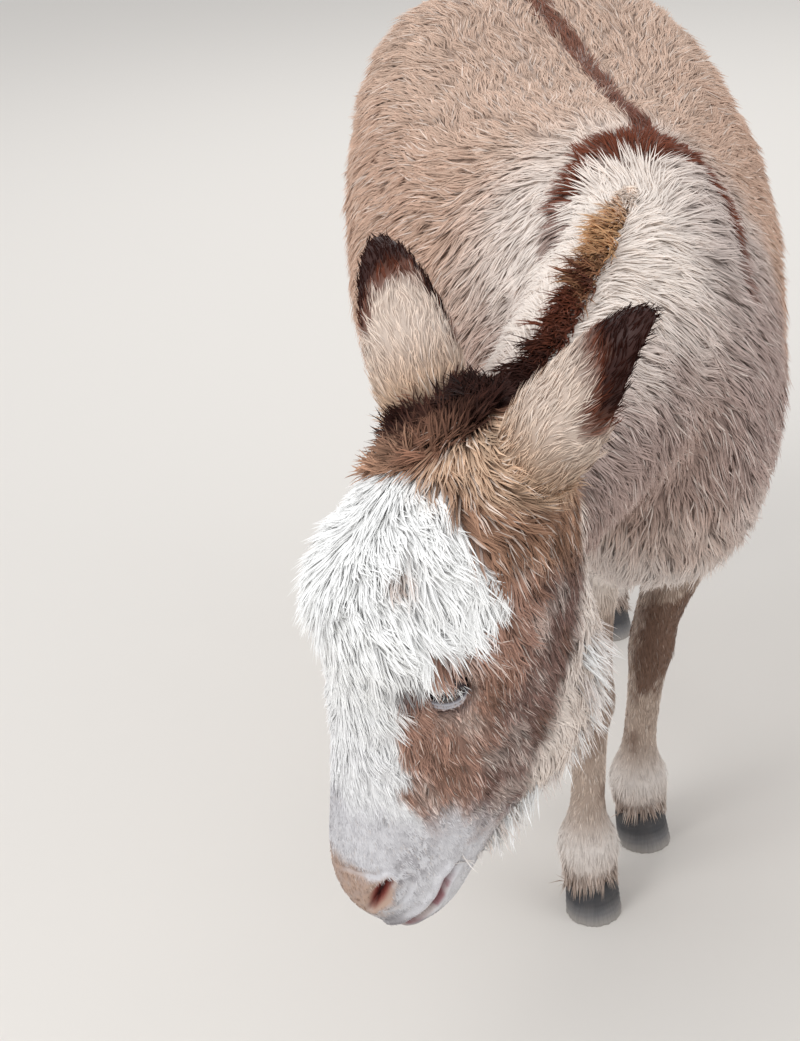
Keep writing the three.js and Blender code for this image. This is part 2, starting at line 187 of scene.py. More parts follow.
def newObject(name, mesh):
    piece = bpy.data.objects.new(name, mesh)
    bpy.context.scene.collection.objects.link(piece)
    return piece


def setVectors(mesh, name, values):
    layer = mesh.attributes.new(name, "FLOAT_VECTOR", "POINT")
    layer.data.foreach_set("vector", values.astype(np.float32).ravel())


def coordinates(mesh):
    flat = np.empty(len(mesh.vertices) * 3, np.float32)
    mesh.vertices.foreach_get("co", flat)
    return flat.reshape(-1, 3).astype(float)


def setCoordinates(mesh, points):
    mesh.vertices.foreach_set("co", points.astype(np.float32).ravel())
    mesh.update()


def vertexNormals(mesh):
    flat = np.empty(len(mesh.vertices) * 3, np.float32)
    mesh.vertex_normals.foreach_get("vector", flat)
    return flat.reshape(-1, 3).astype(float)


def edgePairs(mesh):
    flat = np.empty(len(mesh.edges) * 2, np.int32)
    mesh.edges.foreach_get("vertices", flat)
    return flat.reshape(-1, 2)


def relax(values, pairs, times, share=None):
    # Evens out values over neighbouring vertices.
    count = len(values)
    flat = values.ndim == 1
    values = values.reshape(count, -1).copy()
    degree = np.maximum(np.bincount(pairs.ravel(), minlength=count), 1)[:, None]
    share = 0.5 if share is None else share[:, None]
    for _ in range(times):
        total = np.empty_like(values)
        for k in range(values.shape[1]):
            total[:, k] = (np.bincount(pairs[:, 0], values[pairs[:, 1], k], count)
                           + np.bincount(pairs[:, 1], values[pairs[:, 0], k], count))
        values += share * (total / degree - values)
    return values.ravel() if flat else values


sameSpot = 0.00001   # corners closer than this are one

skinSettings = {
    "grow": 0.0012,         # closes the hairline seams between the solids before they are joined
    "voxel": 0.0036,
    "smoothTimes": 12,
    "depth": {              # how deep the skin lies under the tips of the coat
        "trunk": 0.0115, "neck": 0.0115, "head": 0.0065, "ear_left": 0.0014, "ear_right": 0.0014,
        "foreleg_left": 0.0035, "foreleg_right": 0.0035, "hindleg_left": 0.0040, "hindleg_right": 0.0040,
    },
    "foreheadDepth": 0.0125,
    "muzzleDepth": 0.0022,
    "triangles": 140000,
}


def fleshCopy():
    # Copies of the flesh solids, each merged and grown a hair, joined into one mesh.
    copies = []
    points, faces, owners = [], [], []
    for index, name in enumerate(fleshNodes):
        copy = nodes[name].copy()
        copy.data = nodes[name].data.copy()
        copy.parent = None
        for key in list(copy.keys()):
            del copy[key]
        bpy.context.scene.collection.objects.link(copy)
        wholeMesh(copy, bpy.ops.mesh.remove_doubles, threshold=sameSpot)
        start = len(points)
        points += [tuple(v.co) for v in copy.data.vertices]
        faces += [[start + i for i in p.vertices] for p in copy.data.polygons]
        owners += [index] * len(copy.data.polygons)
        setCoordinates(copy.data, coordinates(copy.data) + vertexNormals(copy.data) * skinSettings["grow"])
        copies.append(copy)
    joinTo(copies[0], copies[1:])
    return copies[0], BVHTree.FromPolygons(points, faces), np.array(owners)


def ownerOf(points, tree, owners):
    found = np.empty(len(points), int)
    for i, p in enumerate(points):
        found[i] = owners[tree.find_nearest(Vector(p))[2]]
    return found


skin, outlineTree, outlineOwners = fleshCopy()
skin.name = "skin"
skin.data.name = "skin"
skin.data.materials.clear()
voxelled(skin, skinSettings["voxel"])
print("one skin:", len(skin.data.vertices), "vertices")

skinPoints = coordinates(skin.data)
skinPairs = edgePairs(skin.data)
skinOwner = ownerOf(skinPoints, outlineTree, outlineOwners)
isEar = np.isin(skinOwner, [3, 4]).astype(float)
isHead = (skinOwner == 2).astype(float)
earSoft = relax(isEar, skinPairs, 6)
headSoft = relax(isHead, skinPairs, 12)
evenness = 0.5 * (1 - 0.93 * earSoft) * (1 - 0.45 * headSoft)
skinPoints = relax(skinPoints, skinPairs, skinSettings["smoothTimes"], evenness)
setCoordinates(skin.data, skinPoints)

inHead = toHead(skinPoints)
depth = np.array([skinSettings["depth"][fleshNodes[i]] for i in skinOwner])
forehead = isHead * ramp(-inHead[:, 1], 0.155, 0.095) * ramp(inHead[:, 2], -0.06, 0.0)
depth += forehead * (skinSettings["foreheadDepth"] - depth)
muzzle = isHead * ramp(-inHead[:, 1], 0.20, 0.33)
depth += muzzle * (skinSettings["muzzleDepth"] - depth)
depth = relax(depth, skinPairs, 40, 0.5 * (1 - earSoft))
skinPoints = skinPoints - vertexNormals(skin.data) * (depth + skinSettings["grow"])[:, None]
setCoordinates(skin.data, skinPoints)
only(skin)
protect = skin.vertex_groups.new(name="fine")
weights = np.clip(0.25 + headSoft + earSoft, 0, 1)
for value in np.linspace(0.25, 1, 6):
    chosen = np.nonzero(np.abs(weights - value) <= 0.076)[0]
    protect.add(chosen.tolist(), float(value), "REPLACE")
thin = skin.modifiers.new("thin", "DECIMATE")
faceCount = sum(len(p.vertices) - 2 for p in skin.data.polygons)
thin.ratio = min(1.0, skinSettings["triangles"] / faceCount)
thin.vertex_group = "fine"
thin.invert_vertex_group = True
bpy.ops.object.modifier_apply(modifier="thin")
print("skin inside the coat:", len(skin.data.polygons), "faces")

# The head is refined where its detail is: round each eye, at the nostrils and along the mouth.
faceSettings = {
    "eyeZone": 0.036,
    "muzzleFrom": 0.305,
    "nostril": [(0.0505, -0.3530, -0.0440), (0.0490, -0.3620, -0.0405), (0.0460, -0.3730, -0.0385),
                (0.0405, -0.3835, -0.0385)],
    "nostrilWide": 0.0052,
    "nostrilDeep": 0.0130,
    "nostrilRim": 0.0034,
    "mouth": [(0.0480, -0.3340, -0.1030), (0.0520, -0.3480, -0.0930), (0.0500, -0.3630, -0.0910),
              (0.0480, -0.3770, -0.0850), (0.0440, -0.3890, -0.0760), (0.0330, -0.3960, -0.0720),
              (0.0160, -0.4010, -0.0710), (0.0000, -0.4020, -0.0710)],
    "mouthWide": 0.0019,
    "mouthDeep": 0.0060,
    "lipFull": 0.0030, "lipAway": 0.0066, "lipWide": 0.0036,
    "socket": (0.0235, 0.0165),     # the skin begins to sink at the first and has sunk at the second
    "socketReach": 0.045, "socketDeep": 0.004,
    # each fold: its line, its depth and its width
    "folds": [
        ([(0.000, -0.366, -0.011), (0.026, -0.357, -0.015), (0.040, -0.353, -0.024), (0.049, -0.349, -0.034)],
         0.0024, 0.0026),
        ([(0.054, -0.338, -0.050), (0.056, -0.348, -0.062), (0.054, -0.366, -0.062), (0.050, -0.380, -0.055)],
         0.0036, 0.0032),
        ([(0.059, -0.300, -0.062), (0.059, -0.318, -0.063), (0.056, -0.334, -0.072)], 0.0013, 0.0020),
        ([(0.052, -0.318, -0.112), (0.053, -0.332, -0.108), (0.052, -0.346, -0.103)], 0.0022, 0.0035),
    ],
}


def faceCentres(mesh):
    flat = np.empty(len(mesh.polygons) * 3, np.float32)
    mesh.polygons.foreach_get("center", flat)
    return flat.reshape(-1, 3).astype(float)


def refine(obj, chooser, cuts):
    only(obj)
    chosen = chooser(toHead(faceCentres(obj.data)))
    bpy.ops.object.mode_set(mode="EDIT")
    bpy.ops.mesh.select_mode(type="FACE")
    bpy.ops.mesh.select_all(action="DESELECT")
    bpy.ops.object.mode_set(mode="OBJECT")
    obj.data.polygons.foreach_set("select", chosen)
    bpy.ops.object.mode_set(mode="EDIT")
    bpy.ops.mesh.subdivide(number_cuts=cuts, smoothness=0)
    bpy.ops.mesh.select_all(action="SELECT")
    bpy.ops.mesh.quads_convert_to_tris()
    bpy.ops.object.mode_set(mode="OBJECT")


def foldHalves(local):
    # Both sides of the head laid over one another.
    folded = local.copy()
    folded[:, 0] = np.abs(folded[:, 0])
    return folded


def besideEye(local, reach):
    return lengthOf(foldHalves(local) - eyeAt) < reach


def onMuzzle(local):
    inside = (np.abs(local[:, 0]) < 0.09) & (local[:, 2] < 0.04) & (local[:, 2] > -0.17)
    return inside & (local[:, 1] < -faceSettings["muzzleFrom"]) & (local[:, 1] > -0.46)


refine(skin, lambda local: besideEye(local, faceSettings["eyeZone"]), 1)
refine(skin, onMuzzle, 1)

skinPoints = coordinates(skin.data)
skinPairs = edgePairs(skin.data)
skinNormals = vertexNormals(skin.data)
inHead = toHead(skinPoints)
folded = foldHalves(inHead)
foldedNormals = skinNormals @ headMatrix
foldedNormals[:, 0] *= np.where(inHead[:, 0] < 0, -1, 1)
near = onMuzzle(inHead).astype(float)

# Nostrils: a curved slit that runs in, with a raised wing of skin round its upper and back edge.
awayNostril, alongNostril = lineDistance(folded, faceSettings["nostril"], foldedNormals)
width = faceSettings["nostrilWide"] * (0.50 + 0.85 * np.sin(np.pi * np.clip(alongNostril, 0.05, 0.95)))
pit = near * ramp(awayNostril, 1.10 * width, 0.30 * width)
wing = near * np.exp(-((awayNostril - 1.80 * width) / (0.75 * width)) ** 2)
shift = faceSettings["nostrilRim"] * wing - faceSettings["nostrilDeep"] * pit

# Mouth: a groove between two full lips, which fades out at the corners.
awayMouth, alongMouth = lineDistance(folded, faceSettings["mouth"], foldedNormals)
fade = ramp(alongMouth, 0.0, 0.10)
groove = near * ramp(awayMouth, 1.7 * faceSettings["mouthWide"], 0.2 * faceSettings["mouthWide"])
lips = near * np.exp(-((awayMouth - faceSettings["lipAway"]) / faceSettings["lipWide"]) ** 2)
shift += fade * (faceSettings["lipFull"] * lips - faceSettings["mouthDeep"] * groove)

# Shallow folds: over the nostril, behind it, and up the cheek from the mouth.
for line, deep, wide in faceSettings["folds"]:
    awayFold, alongFold = lineDistance(folded, line, foldedNormals)
    shift -= near * deep * np.exp(-(awayFold / wide) ** 2) * np.sin(np.pi * np.clip(alongFold, 0.10, 0.90))
skinPoints += skinNormals * shift[:, None]
faceMarks = np.stack([awayNostril / width, awayMouth, alongMouth], axis=1)

# Sockets: the skin falls back behind each eyeball, where the lids cover it.
for sign in (1, -1):
    centre = fromHead(eyeAt * [sign, 1, 1])
    away = skinPoints - centre
    reach = lengthOf(away)
    outward = headMatrix @ np.array([sign, 0.0, 0.0])
    aside = lengthOf(away - np.outer(away @ outward, outward))
    sunk = ramp(aside, *faceSettings["socket"]) * (reach < faceSettings["socketReach"])
    drop = np.maximum(0, (away @ outward) + faceSettings["socketDeep"]) * sunk
    skinPoints -= np.outer(drop, outward)
setCoordinates(skin.data, skinPoints)
print("face shaped:", len(skin.data.polygons), "faces")


# The lids of an eye: rings of skin that lie on the eyeball and run out under the coat.
lidSettings = {
    "lean": (0.0, 0.37, -0.93),    # from the inner corner of the slit to the outer one
    "halfLong": 0.0162,
    "upperOpen": 0.0042,
    "lowerOpen": 0.0030,
    "columns": 56,
    # each ring: how far it has left the slit, from 0 to 1, and its height over the eyeball
    "rings": [(0.00, -0.0012), (0.00, 0.0006), (0.05, 0.0022), (0.13, 0.0027), (0.22, 0.0016), (0.31, 0.0026),
              (0.42, 0.0018), (0.56, 0.0028), (0.74, 0.0030), (1.00, 0.0000)],
    "outer": 0.0275, "outerFlat": 0.86,
    "cornerPoint": 1.35,           # above 1, the slit's corners draw to a point
    "hover": 0.0008, "tuck": 0.0022,    # over the skin, and under it at the last ring
}


def eyeFrame(sign):
    # An eye's centre, the way out of the head, the way along its slit and the way up, seen from the head.
    eye = eyeAt * [sign, 1, 1]
    out = np.array([sign, 0.0, 0.0])
    slit = np.array(lidSettings["lean"])
    up = np.cross(slit, out) * sign
    return eye, out, slit, up if up[2] > 0 else -up


def lidPatch(sign, tree):
    eye, out, along, up = eyeFrame(sign)
    radius = headSettings["eyeRadius"]
    points, faces = [], []
    count = lidSettings["columns"]
    for spread, height in lidSettings["rings"]:
        for k in range(count):
            angle = 2 * math.pi * k / count
            c, s = math.cos(angle), math.sin(angle)
            opening = lidSettings["upperOpen"] if s > 0 else lidSettings["lowerOpen"]
            slitU = lidSettings["halfLong"] * c
            slitV = opening * math.copysign(abs(s) ** lidSettings["cornerPoint"], s)
            ringU = lidSettings["outer"] * c
            ringV = lidSettings["outer"] * lidSettings["outerFlat"] * s
            u = slitU + (ringU - slitU) * spread
            v = slitV + (ringV - slitV) * spread
            side = math.hypot(u, v)
            lift = math.sqrt(radius ** 2 - side ** 2) if side < radius * 0.98 else radius * 0.2
            ball = eye + along * u + up * v + out * lift
            direction = (ball - eye) / np.linalg.norm(ball - eye)
            place = eye + direction * (radius + height)
            world = fromHead(place)
            if spread > 0.3:
                start = fromHead(eye + along * u + up * v + out * 0.05)
                hit = tree.ray_cast(Vector(start), Vector(-(headMatrix @ out)), 0.09)[0]
                if hit is not None:
                    over = lidSettings["hover"] - lidSettings["tuck"] * (spread > 0.95)
                    surface = np.array(hit) + (headMatrix @ out) * over
                    share = float(ramp(np.array([spread]), 0.34, 0.9)[0])
                    world = world + (surface - world) * share
            points.append(world)
    rows = len(lidSettings["rings"])
    for r in range(rows - 1):
        for k in range(count):
            a, b = r * count + k, r * count + (k + 1) % count
            quad = (a, b, b + count, a + count)
            faces.append(quad if sign > 0 else quad[::-1])
    return points, faces


skinTree = BVHTree.FromPolygons([tuple(p) for p in skinPoints],
                                [tuple(p.vertices) for p in skin.data.polygons])
lids = []
for sign in (1, -1):
    points, faces = lidPatch(sign, skinTree)
    mesh = bpy.data.meshes.new("lids")
    mesh.from_pydata([tuple(p) for p in points], [], faces)
    lid = newObject("lids", mesh)
    wholeMesh(lid, bpy.ops.mesh.quads_convert_to_tris)
    centre = Vector(fromHead(eyeFrame(sign)[0]))
    outSide = sum(1 if (p.center - centre).dot(p.normal) > 0 else -1 for p in mesh.polygons)
    if outSide < 0:
        wholeMesh(lid, bpy.ops.mesh.flip_normals)
    lids.append(lid)
bodyCount = len(skin.data.vertices)
joinTo(skin, lids)
bpy.ops.object.shade_smooth()
print("lids joined to the skin")

# Colours of the coat and the bare skin, as a painter would name them. "root" is the painted shade deep
# between the locks.
paintSettings = {
    "flank": (201, 169, 149), "back": (207, 179, 160), "cream": (235, 224, 215), "belly": (218, 208, 202),
    "mauve": (167, 148, 143), "white": (243, 243, 242), "stripe": (110, 60, 43), "dark": (50, 26, 20),
    "tan": (206, 176, 150), "curl": (162, 126, 104), "cheek": (168, 132, 116), "jowl": (127, 101, 94),
    "leg": (201, 182, 167), "knee": (108, 78, 61), "root": (120, 84, 68), "earTip": (40, 15, 9),
    "poll": (130, 94, 76), "golden": (198, 155, 114), "muzzle": (208, 207, 210), "mottle": (138, 134, 138),
    "snip": (172, 141, 121), "pink": (188, 161, 145), "lip": (150, 108, 112), "nostril": (168, 92, 84),
    # nostrilDeep is near-black painted shade, for the inside of the nostrils and the mouth's groove.
    "nostrilDeep": (66, 26, 26), "lidRim": (104, 92, 92), "lidPale": (184, 183, 190), "lidDark": (62, 52, 56),
}
# The eel stripe from the tail to the withers, and the two arms of the cross.
stripeLine = [(0.059, 0.560, 0.790), (0.060, 0.500, 0.872), (0.061, 0.400, 0.897), (0.065, 0.275, 0.886),
              (0.078, 0.200, 0.869), (0.082, 0.135, 0.857), (0.087, 0.062, 0.851), (0.089, -0.025, 0.849),
              (0.086, -0.100, 0.851), (0.081, -0.150, 0.849)]
crossRight = [(0.083, -0.152, 0.849), (0.051, -0.150, 0.854), (0.035, -0.148, 0.853), (0.012, -0.149, 0.841),
              (-0.005, -0.155, 0.825), (-0.019, -0.163, 0.808), (-0.031, -0.170, 0.789),
              (-0.048, -0.192, 0.769)]
crossLeft = [(0.078, -0.153, 0.848), (0.107, -0.134, 0.834), (0.136, -0.123, 0.811), (0.154, -0.128, 0.789),
             (0.164, -0.144, 0.772), (0.170, -0.164, 0.757), (0.174, -0.185, 0.746), (0.173, -0.222, 0.710)]
# The white face ends here: distance from the poll, and how far down the side it reaches.
blazeAlong = [0.000, 0.020, 0.057, 0.093, 0.118, 0.137, 0.150, 0.160, 0.170, 0.180, 0.219, 0.255,
              0.277, 0.300]
blazeReach = [0.030, -0.004, -0.036, -0.079, -0.060, -0.030, -0.022, -0.036, -0.036, -0.006, -0.014, -0.032,
              -0.030, -0.060]
# Each ear's root and tip, seen from the head, and the way its open side looks.
earRoots = {3: ((0.046, -0.010, -0.064), (0.128, 0.160, -0.112)),
            4: ((-0.046, -0.006, -0.038), (-0.170, 0.128, 0.006))}
earFacing = {3: (-0.23, -0.26, -0.94), 4: (-0.95, -0.2, -0.25)}


def linear(name):
    c = np.array(paintSettings[name]) / 255.0
    return np.where(c <= 0.04045, c / 12.92, ((c + 0.055) / 1.055) ** 2.4)


def plain(name, count):
    return np.tile(linear(name), (count, 1))


def layered(colours, *coats):
    # Named colours over one another, each with how strongly it covers.
    for name, amount in coats:
        colours = mix(colours, linear(name), amount)
    return colours


def toned(colours, tone):
    return np.clip(colours * (1 + tone)[:, None], 0, 1)


def earPlace(local, owner):
    # How far up the ear, and how far across it: 1 at its left margin, -1 at its right one.
    t, across = np.zeros(len(local)), np.zeros(len(local))
    for index, (root, tip) in earRoots.items():
        root, axis = np.array(root), np.array(tip) - np.array(root)
        side = unit(np.cross(np.array(earFacing[index]), axis)[None])[0]
        mine = owner == index
        t[mine] = ((local[mine] - root) @ axis) / (axis @ axis)
        across[mine] = ((local[mine] - root) @ side) / (0.038 - 0.018 * ramp(t[mine], 0.45, 1.0))
    return t, across


def coatColour(points, normals, owner):
    # The markings, by place alone, so that skin and tufts agree.
    local = toHead(points)
    along = -local[:, 1]
    folded = foldHalves(local)
    soft = cloud(points, 0.035, 1) - 0.5
    fine = cloud(points, 0.010, 2) - 0.5
    height = points[:, 2] + 0.05 * soft

    front = ramp(-points[:, 1], 0.02, 0.20)
    neckPart = ramp(-points[:, 1], 0.28, 0.40)
    body = layered(
        plain("flank", len(points)),
        ("back", ramp(height, 0.74, 0.84)),
        ("cream", front * ramp(height, 0.60, 0.74)),
        ("white", 0.22 * blob(points, (-0.050, -0.125, 0.775), (0.055, 0.060, 0.085))),
        # The front of the animal's left side, turned from the key light, is painted mauve-grey: painted
        # shade.
        ("mauve", 0.60 * front * ramp(points[:, 0], 0.07, 0.15)),
        ("mauve", 0.65 * front * ramp(height, 0.76, 0.64) * ramp(height, 0.46, 0.56)),
        ("belly", ramp(height, 0.55, 0.44) * (1 - 0.85 * ramp(points[:, 1], 0.26, 0.38))),
        ("mauve", 0.45 * neckPart * ramp(height, 0.76, 0.68) * ramp(height, 0.48, 0.56)),
    )
    away, part = lineDistance(points, stripeLine, normals)
    wide = 0.0125 + 0.004 * fine + 0.004 * ramp(part, 0.90, 1.0)
    strength = 1 - 0.10 * ramp(part, 0.9, 0.7)
    body = layered(body, ("stripe", strength * ramp(away, wide * 1.25, wide * 0.75)))
    for line, taper in ((crossRight, 0.0170), (crossLeft, 0.0125)):
        away, part = lineDistance(points, line, normals)
        wide = 0.0275 - taper * ramp(part, 0.10, 0.65) + 0.004 * fine
        strength = 1 - 0.35 * ramp(part, 0.7, 1.0)
        body = layered(body, ("stripe", strength * ramp(away, wide * 1.25, wide * 0.75)))

    # The head, from the cheeks forward.
    depth = local[:, 2]
    blotch = cloud(points, 0.022, 6)
    onCheek = ramp(depth, -0.02, -0.06)
    under = -(normals @ headMatrix)[:, 2]
    reach = np.interp(along, blazeAlong, blazeReach) + 0.012 * soft + 0.010 * fine
    whiteFace = ramp(depth, reach - 0.006, reach + 0.006) * ramp(along, 0.000, 0.012)
    onNose = ramp(along + 0.030 * soft + 0.024 * fine - 0.10 * np.maximum(0, -0.06 - depth), 0.272, 0.316)
    snip = ramp(along + 0.010 * fine, 0.348, 0.364) * ramp(depth + 0.02 * fine, -0.056, -0.036)
    # Grey mottling of the nose skin is made stronger round the nostril's wing, where it is also painted shade
    # in the fold behind the nostril.
    wing = blob(folded, (0.056, -0.338, -0.058), (0.014, 0.022, 0.013))
    mottleAndFoldShade = ramp(cloud(points, 0.0055, 12), 0.44, 0.62) * np.clip(0.32 + 1.2 * wing, 0, 1)
    belowEye, eyeCorner = (0.085, -0.181, -0.043), (0.083, -0.180, -0.010)
    pollFront = ramp(along, 0.006, -0.010) * ramp(local[:, 0], 0.050, 0.030) * ramp(depth, 0.012, 0.000)
    head = layered(
        plain("cheek", len(points)),
        ("jowl", 0.9 * ramp(depth + 0.03 * soft, -0.080, -0.115)),
        ("cream", 0.28 * ramp(blotch, 0.55, 0.75) * onCheek),
        ("knee", 0.45 * ramp(blotch, 0.42, 0.25) * onCheek),
        ("curl", ramp(along, 0.085, 0.045)),
        ("knee", 0.5 * ramp(along, 0.095, 0.055) * ramp(blotch, 0.45, 0.30)),
        ("cream", 0.85 * ramp(depth + 0.03 * soft, -0.143, -0.167)),
        ("belly", 0.70 * ramp(under, 0.50, 0.85) * ramp(along, 0.16, 0.20)),
        ("white", whiteFace),
        ("muzzle", 0.3 * whiteFace * ramp(along, 0.19, 0.26)),
        ("muzzle", onNose),
        ("snip", 0.90 * snip),
        ("mottle", 0.65 * mottleAndFoldShade * onNose),
        ("mottle", 0.8 * (ramp(along, 0.381, 0.396) * ramp(depth, -0.046, -0.058))),
        ("lidPale", 0.9 * blob(folded, belowEye, (0.012, 0.0055, 0.013))),
        ("lidDark", 0.85 * blob(folded, eyeCorner, (0.013, 0.011, 0.015))),
        ("curl", 0.7 * blob(local, (0.079, -0.086, 0.019), (0.009, 0.009, 0.012))),
        ("poll", pollFront),
        ("tan", ramp(along, 0.030, -0.010) * ramp(local[:, 0], 0.030, 0.050)),
    )
    body[owner == 2] = head[owner == 2]

    # The legs: dark knees and insides, pale fetlocks, a dark edge at the coronet.
    isFore = points[:, 1] < 0.2
    patch = points[:, 2] + 0.05 * soft + 0.04 * fine
    onKnee = ramp(patch, 0.195, 0.215) * ramp(patch, 0.365, 0.325) * np.where(points[:, 0] > 0.03, 1.0, 0.5)
    inner = np.where(points[:, 0] > 0.055, 1, -1) * normals[:, 0]
    legs = layered(
        plain("leg", len(points)),
        ("cream", ramp(height, 0.34, 0.42)),
        ("flank", 0.90 * (points[:, 1] > 0.2) * ramp(height, 0.33, 0.43)),
        ("knee", 0.90 * isFore * onKnee * ramp(normals[:, 0] + 0.4 * fine, -1.15, -0.85)),
        ("knee", 0.55 * ~isFore * ramp(patch, 0.230, 0.260) * ramp(patch, 0.370, 0.320)),
        ("knee", 0.65 * ramp(-inner, 0.2, 0.7) * ramp(patch, 0.095, 0.125) * ramp(patch, 0.165, 0.150)),
        ("knee", 0.40 * ramp(fine, 0.26, 0.40) * ramp(points[:, 2], 0.17, 0.10)),
        ("white", 0.48 * blob(points * [0, 0, 1], (0, 0, 0.075), (1, 1, 0.030))),
        ("knee", 0.45 * ramp(points[:, 2], 0.056, 0.046)),
    )
    body[owner >= 5] = legs[owner >= 5]

    t, across = earPlace(local, owner)
    margin = np.where(owner == 3, ramp(across, 0.78, 1.08) * 0.11, ramp(-across, 0.70, 1.08) * 0.16)
    margin += (owner == 4) * 0.30 * ramp(across, 0.88, 1.08)
    tipward = t + 0.16 * soft + 0.06 * fine + margin
    ears = layered(
        plain("tan", len(points)),
        ("cream", 0.60 * ramp(t, 0.14, 0.50)),
        ("dark", 0.75 * (owner == 4) * ramp(t + 0.2 * fine, 0.16, 0.02)),
        ("stripe", ramp(tipward, 0.62, 0.76)),
        ("earTip", ramp(tipward, 0.72, 0.83)),
    )
    isEar = (owner == 3) | (owner == 4)
    body[isEar] = ears[isEar]
    return body


def bareColour(points, owner, marks, colours):
    # Bare skin: nostrils, lips and the rims of the lids.
    onHead = (owner == 2).astype(float)
    inNostril, mouthAway, mouthPart = marks.T
    spotted = cloud(points, 0.007, 5)
    lip = onHead * ramp(mouthAway, 0.0062, 0.0030) * ramp(mouthPart, 0.02, 0.25)
    eyeAway = lengthOf(foldHalves(toHead(points)) - eyeAt)
    return layered(
        colours,
        ("pink", 0.35 * onHead * ramp(inNostril, 2.6, 1.3)),
        ("nostril", onHead * ramp(inNostril, 1.05, 0.55)),
        # The deep part of each nostril is near-black: painted shade inside the nostril.
        ("nostrilDeep", onHead * ramp(inNostril, 0.60, 0.15)),
        ("lip", lip * ramp(spotted, 0.80, 0.45)),
        ("pink", 0.4 * lip * ramp(spotted, 0.50, 0.80)),
        # A near-black line along the mouth: painted shade in the groove between the lips.
        ("nostrilDeep", 0.8 * onHead * ramp(mouthAway, 0.0018, 0.0006)),
        ("lidRim", 0.5 * onHead * ramp(eyeAway, 0.0262, 0.0205)),
    )


def setColour(mesh, name, colours):
    data = np.ones((len(colours), 4), np.float32)
    data[:, :3] = colours
    mesh.attributes.new(name, "FLOAT_COLOR", "POINT").data.foreach_set("color", data.ravel())


# The state of the finished skin, which everything that grows on it reads.
skinPoints = coordinates(skin.data)
skinPairs = edgePairs(skin.data)
skinNormals = vertexNormals(skin.data)
skinOwner = ownerOf(skinPoints, outlineTree, outlineOwners)
skinOwner[bodyCount:] = 2
faceMarks = np.concatenate([faceMarks, np.ones((len(skinPoints) - bodyCount, 3))])
skinLocal = toHead(skinPoints)
skinAlong = -skinLocal[:, 1]
onHead = (skinOwner == 2).astype(float)

skinColour = coatColour(skinPoints + skinNormals * 0.010, skinNormals, skinOwner)
hairy = relax((1 - onHead * ramp(skinAlong, 0.28, 0.31)), skinPairs, 3)
# Where coloured hair covers it, the skin is darkened with the root colour: painted shade between the tufts.
# Under white hair it keeps its own colour.
shaded = skinColour * 0.60 + np.minimum(linear("root") * 0.20, skinColour)
whiteness = ramp(skinColour.min(axis=1), 0.38, 0.72)
skinColour = skinColour + (shaded - skinColour) * (hairy * (1 - whiteness))[:, None]
skinColour = bareColour(skinPoints, skinOwner, faceMarks, skinColour)
lidColour = plain("lidDark", len(skinPoints) - bodyCount)
ringCount, columnCount = len(lidSettings["rings"]), lidSettings["columns"]
ringIndex = ((np.arange(len(lidColour)) // columnCount) % ringCount).astype(float)
columnTurn = np.sin(2 * math.pi * (np.arange(len(lidColour)) % columnCount) / columnCount)
skinColour[bodyCount:] = layered(
    lidColour,
    ("lidRim", ramp(ringIndex, 3.0, 6.0)),
    ("lidPale", ramp(-columnTurn, 0.15, 0.60) * ramp(ringIndex, 1.5, 3.0)),
    ("cheek", 0.8 * ramp(ringIndex, 5.0, 7.5)),
)
setColour(skin.data, "paint", skinColour)
print("markings laid on the skin")

# The coat: how long, wide and steep each tuft is, and how many stand on a square metre.
coatSettings = {
    "long": {"trunk": 0.034, "neck": 0.032, "head": 0.017, "ear": 0.017, "leg": 0.0115},
    "many": {"trunk": 86500, "neck": 100000, "head": 165000, "ear": 96000, "leg": 100000},
    "brow": 0.038, "browMany": 150000,
    "bridge": 0.027,
    "back": 0.024,
    "muzzle": 0.0048, "muzzleMany": 270000,
    "jaw": 0.034,
    "cannon": 0.0078,
    "fetlock": 0.0190,
    "coronet": 0.021,
    "thigh": 0.024,
    "belowEye": 0.0095,
    "lid": 0.0032, "lidMany": 420000,
    "wide": 0.055, "thinnest": 0.0009, "widest": 0.0020,   # width as a share of length, and its limits
    "lift": 27.0,           # degrees off the skin at the root
    "settle": 5.0,          # and at the tip
    "clumpPull": 0.70,
    "sway": 0.50,
    "piece": 192000,        # triangles in one piece of the trunk, at most
    "longFrom": 0.0195,     # longer hair on the head has a piece of its own
    "noseFrom": 0.300,
}
bodyKinds = ["trunk", "neck", "head", "ear", "ear", "leg", "leg", "leg", "leg"]


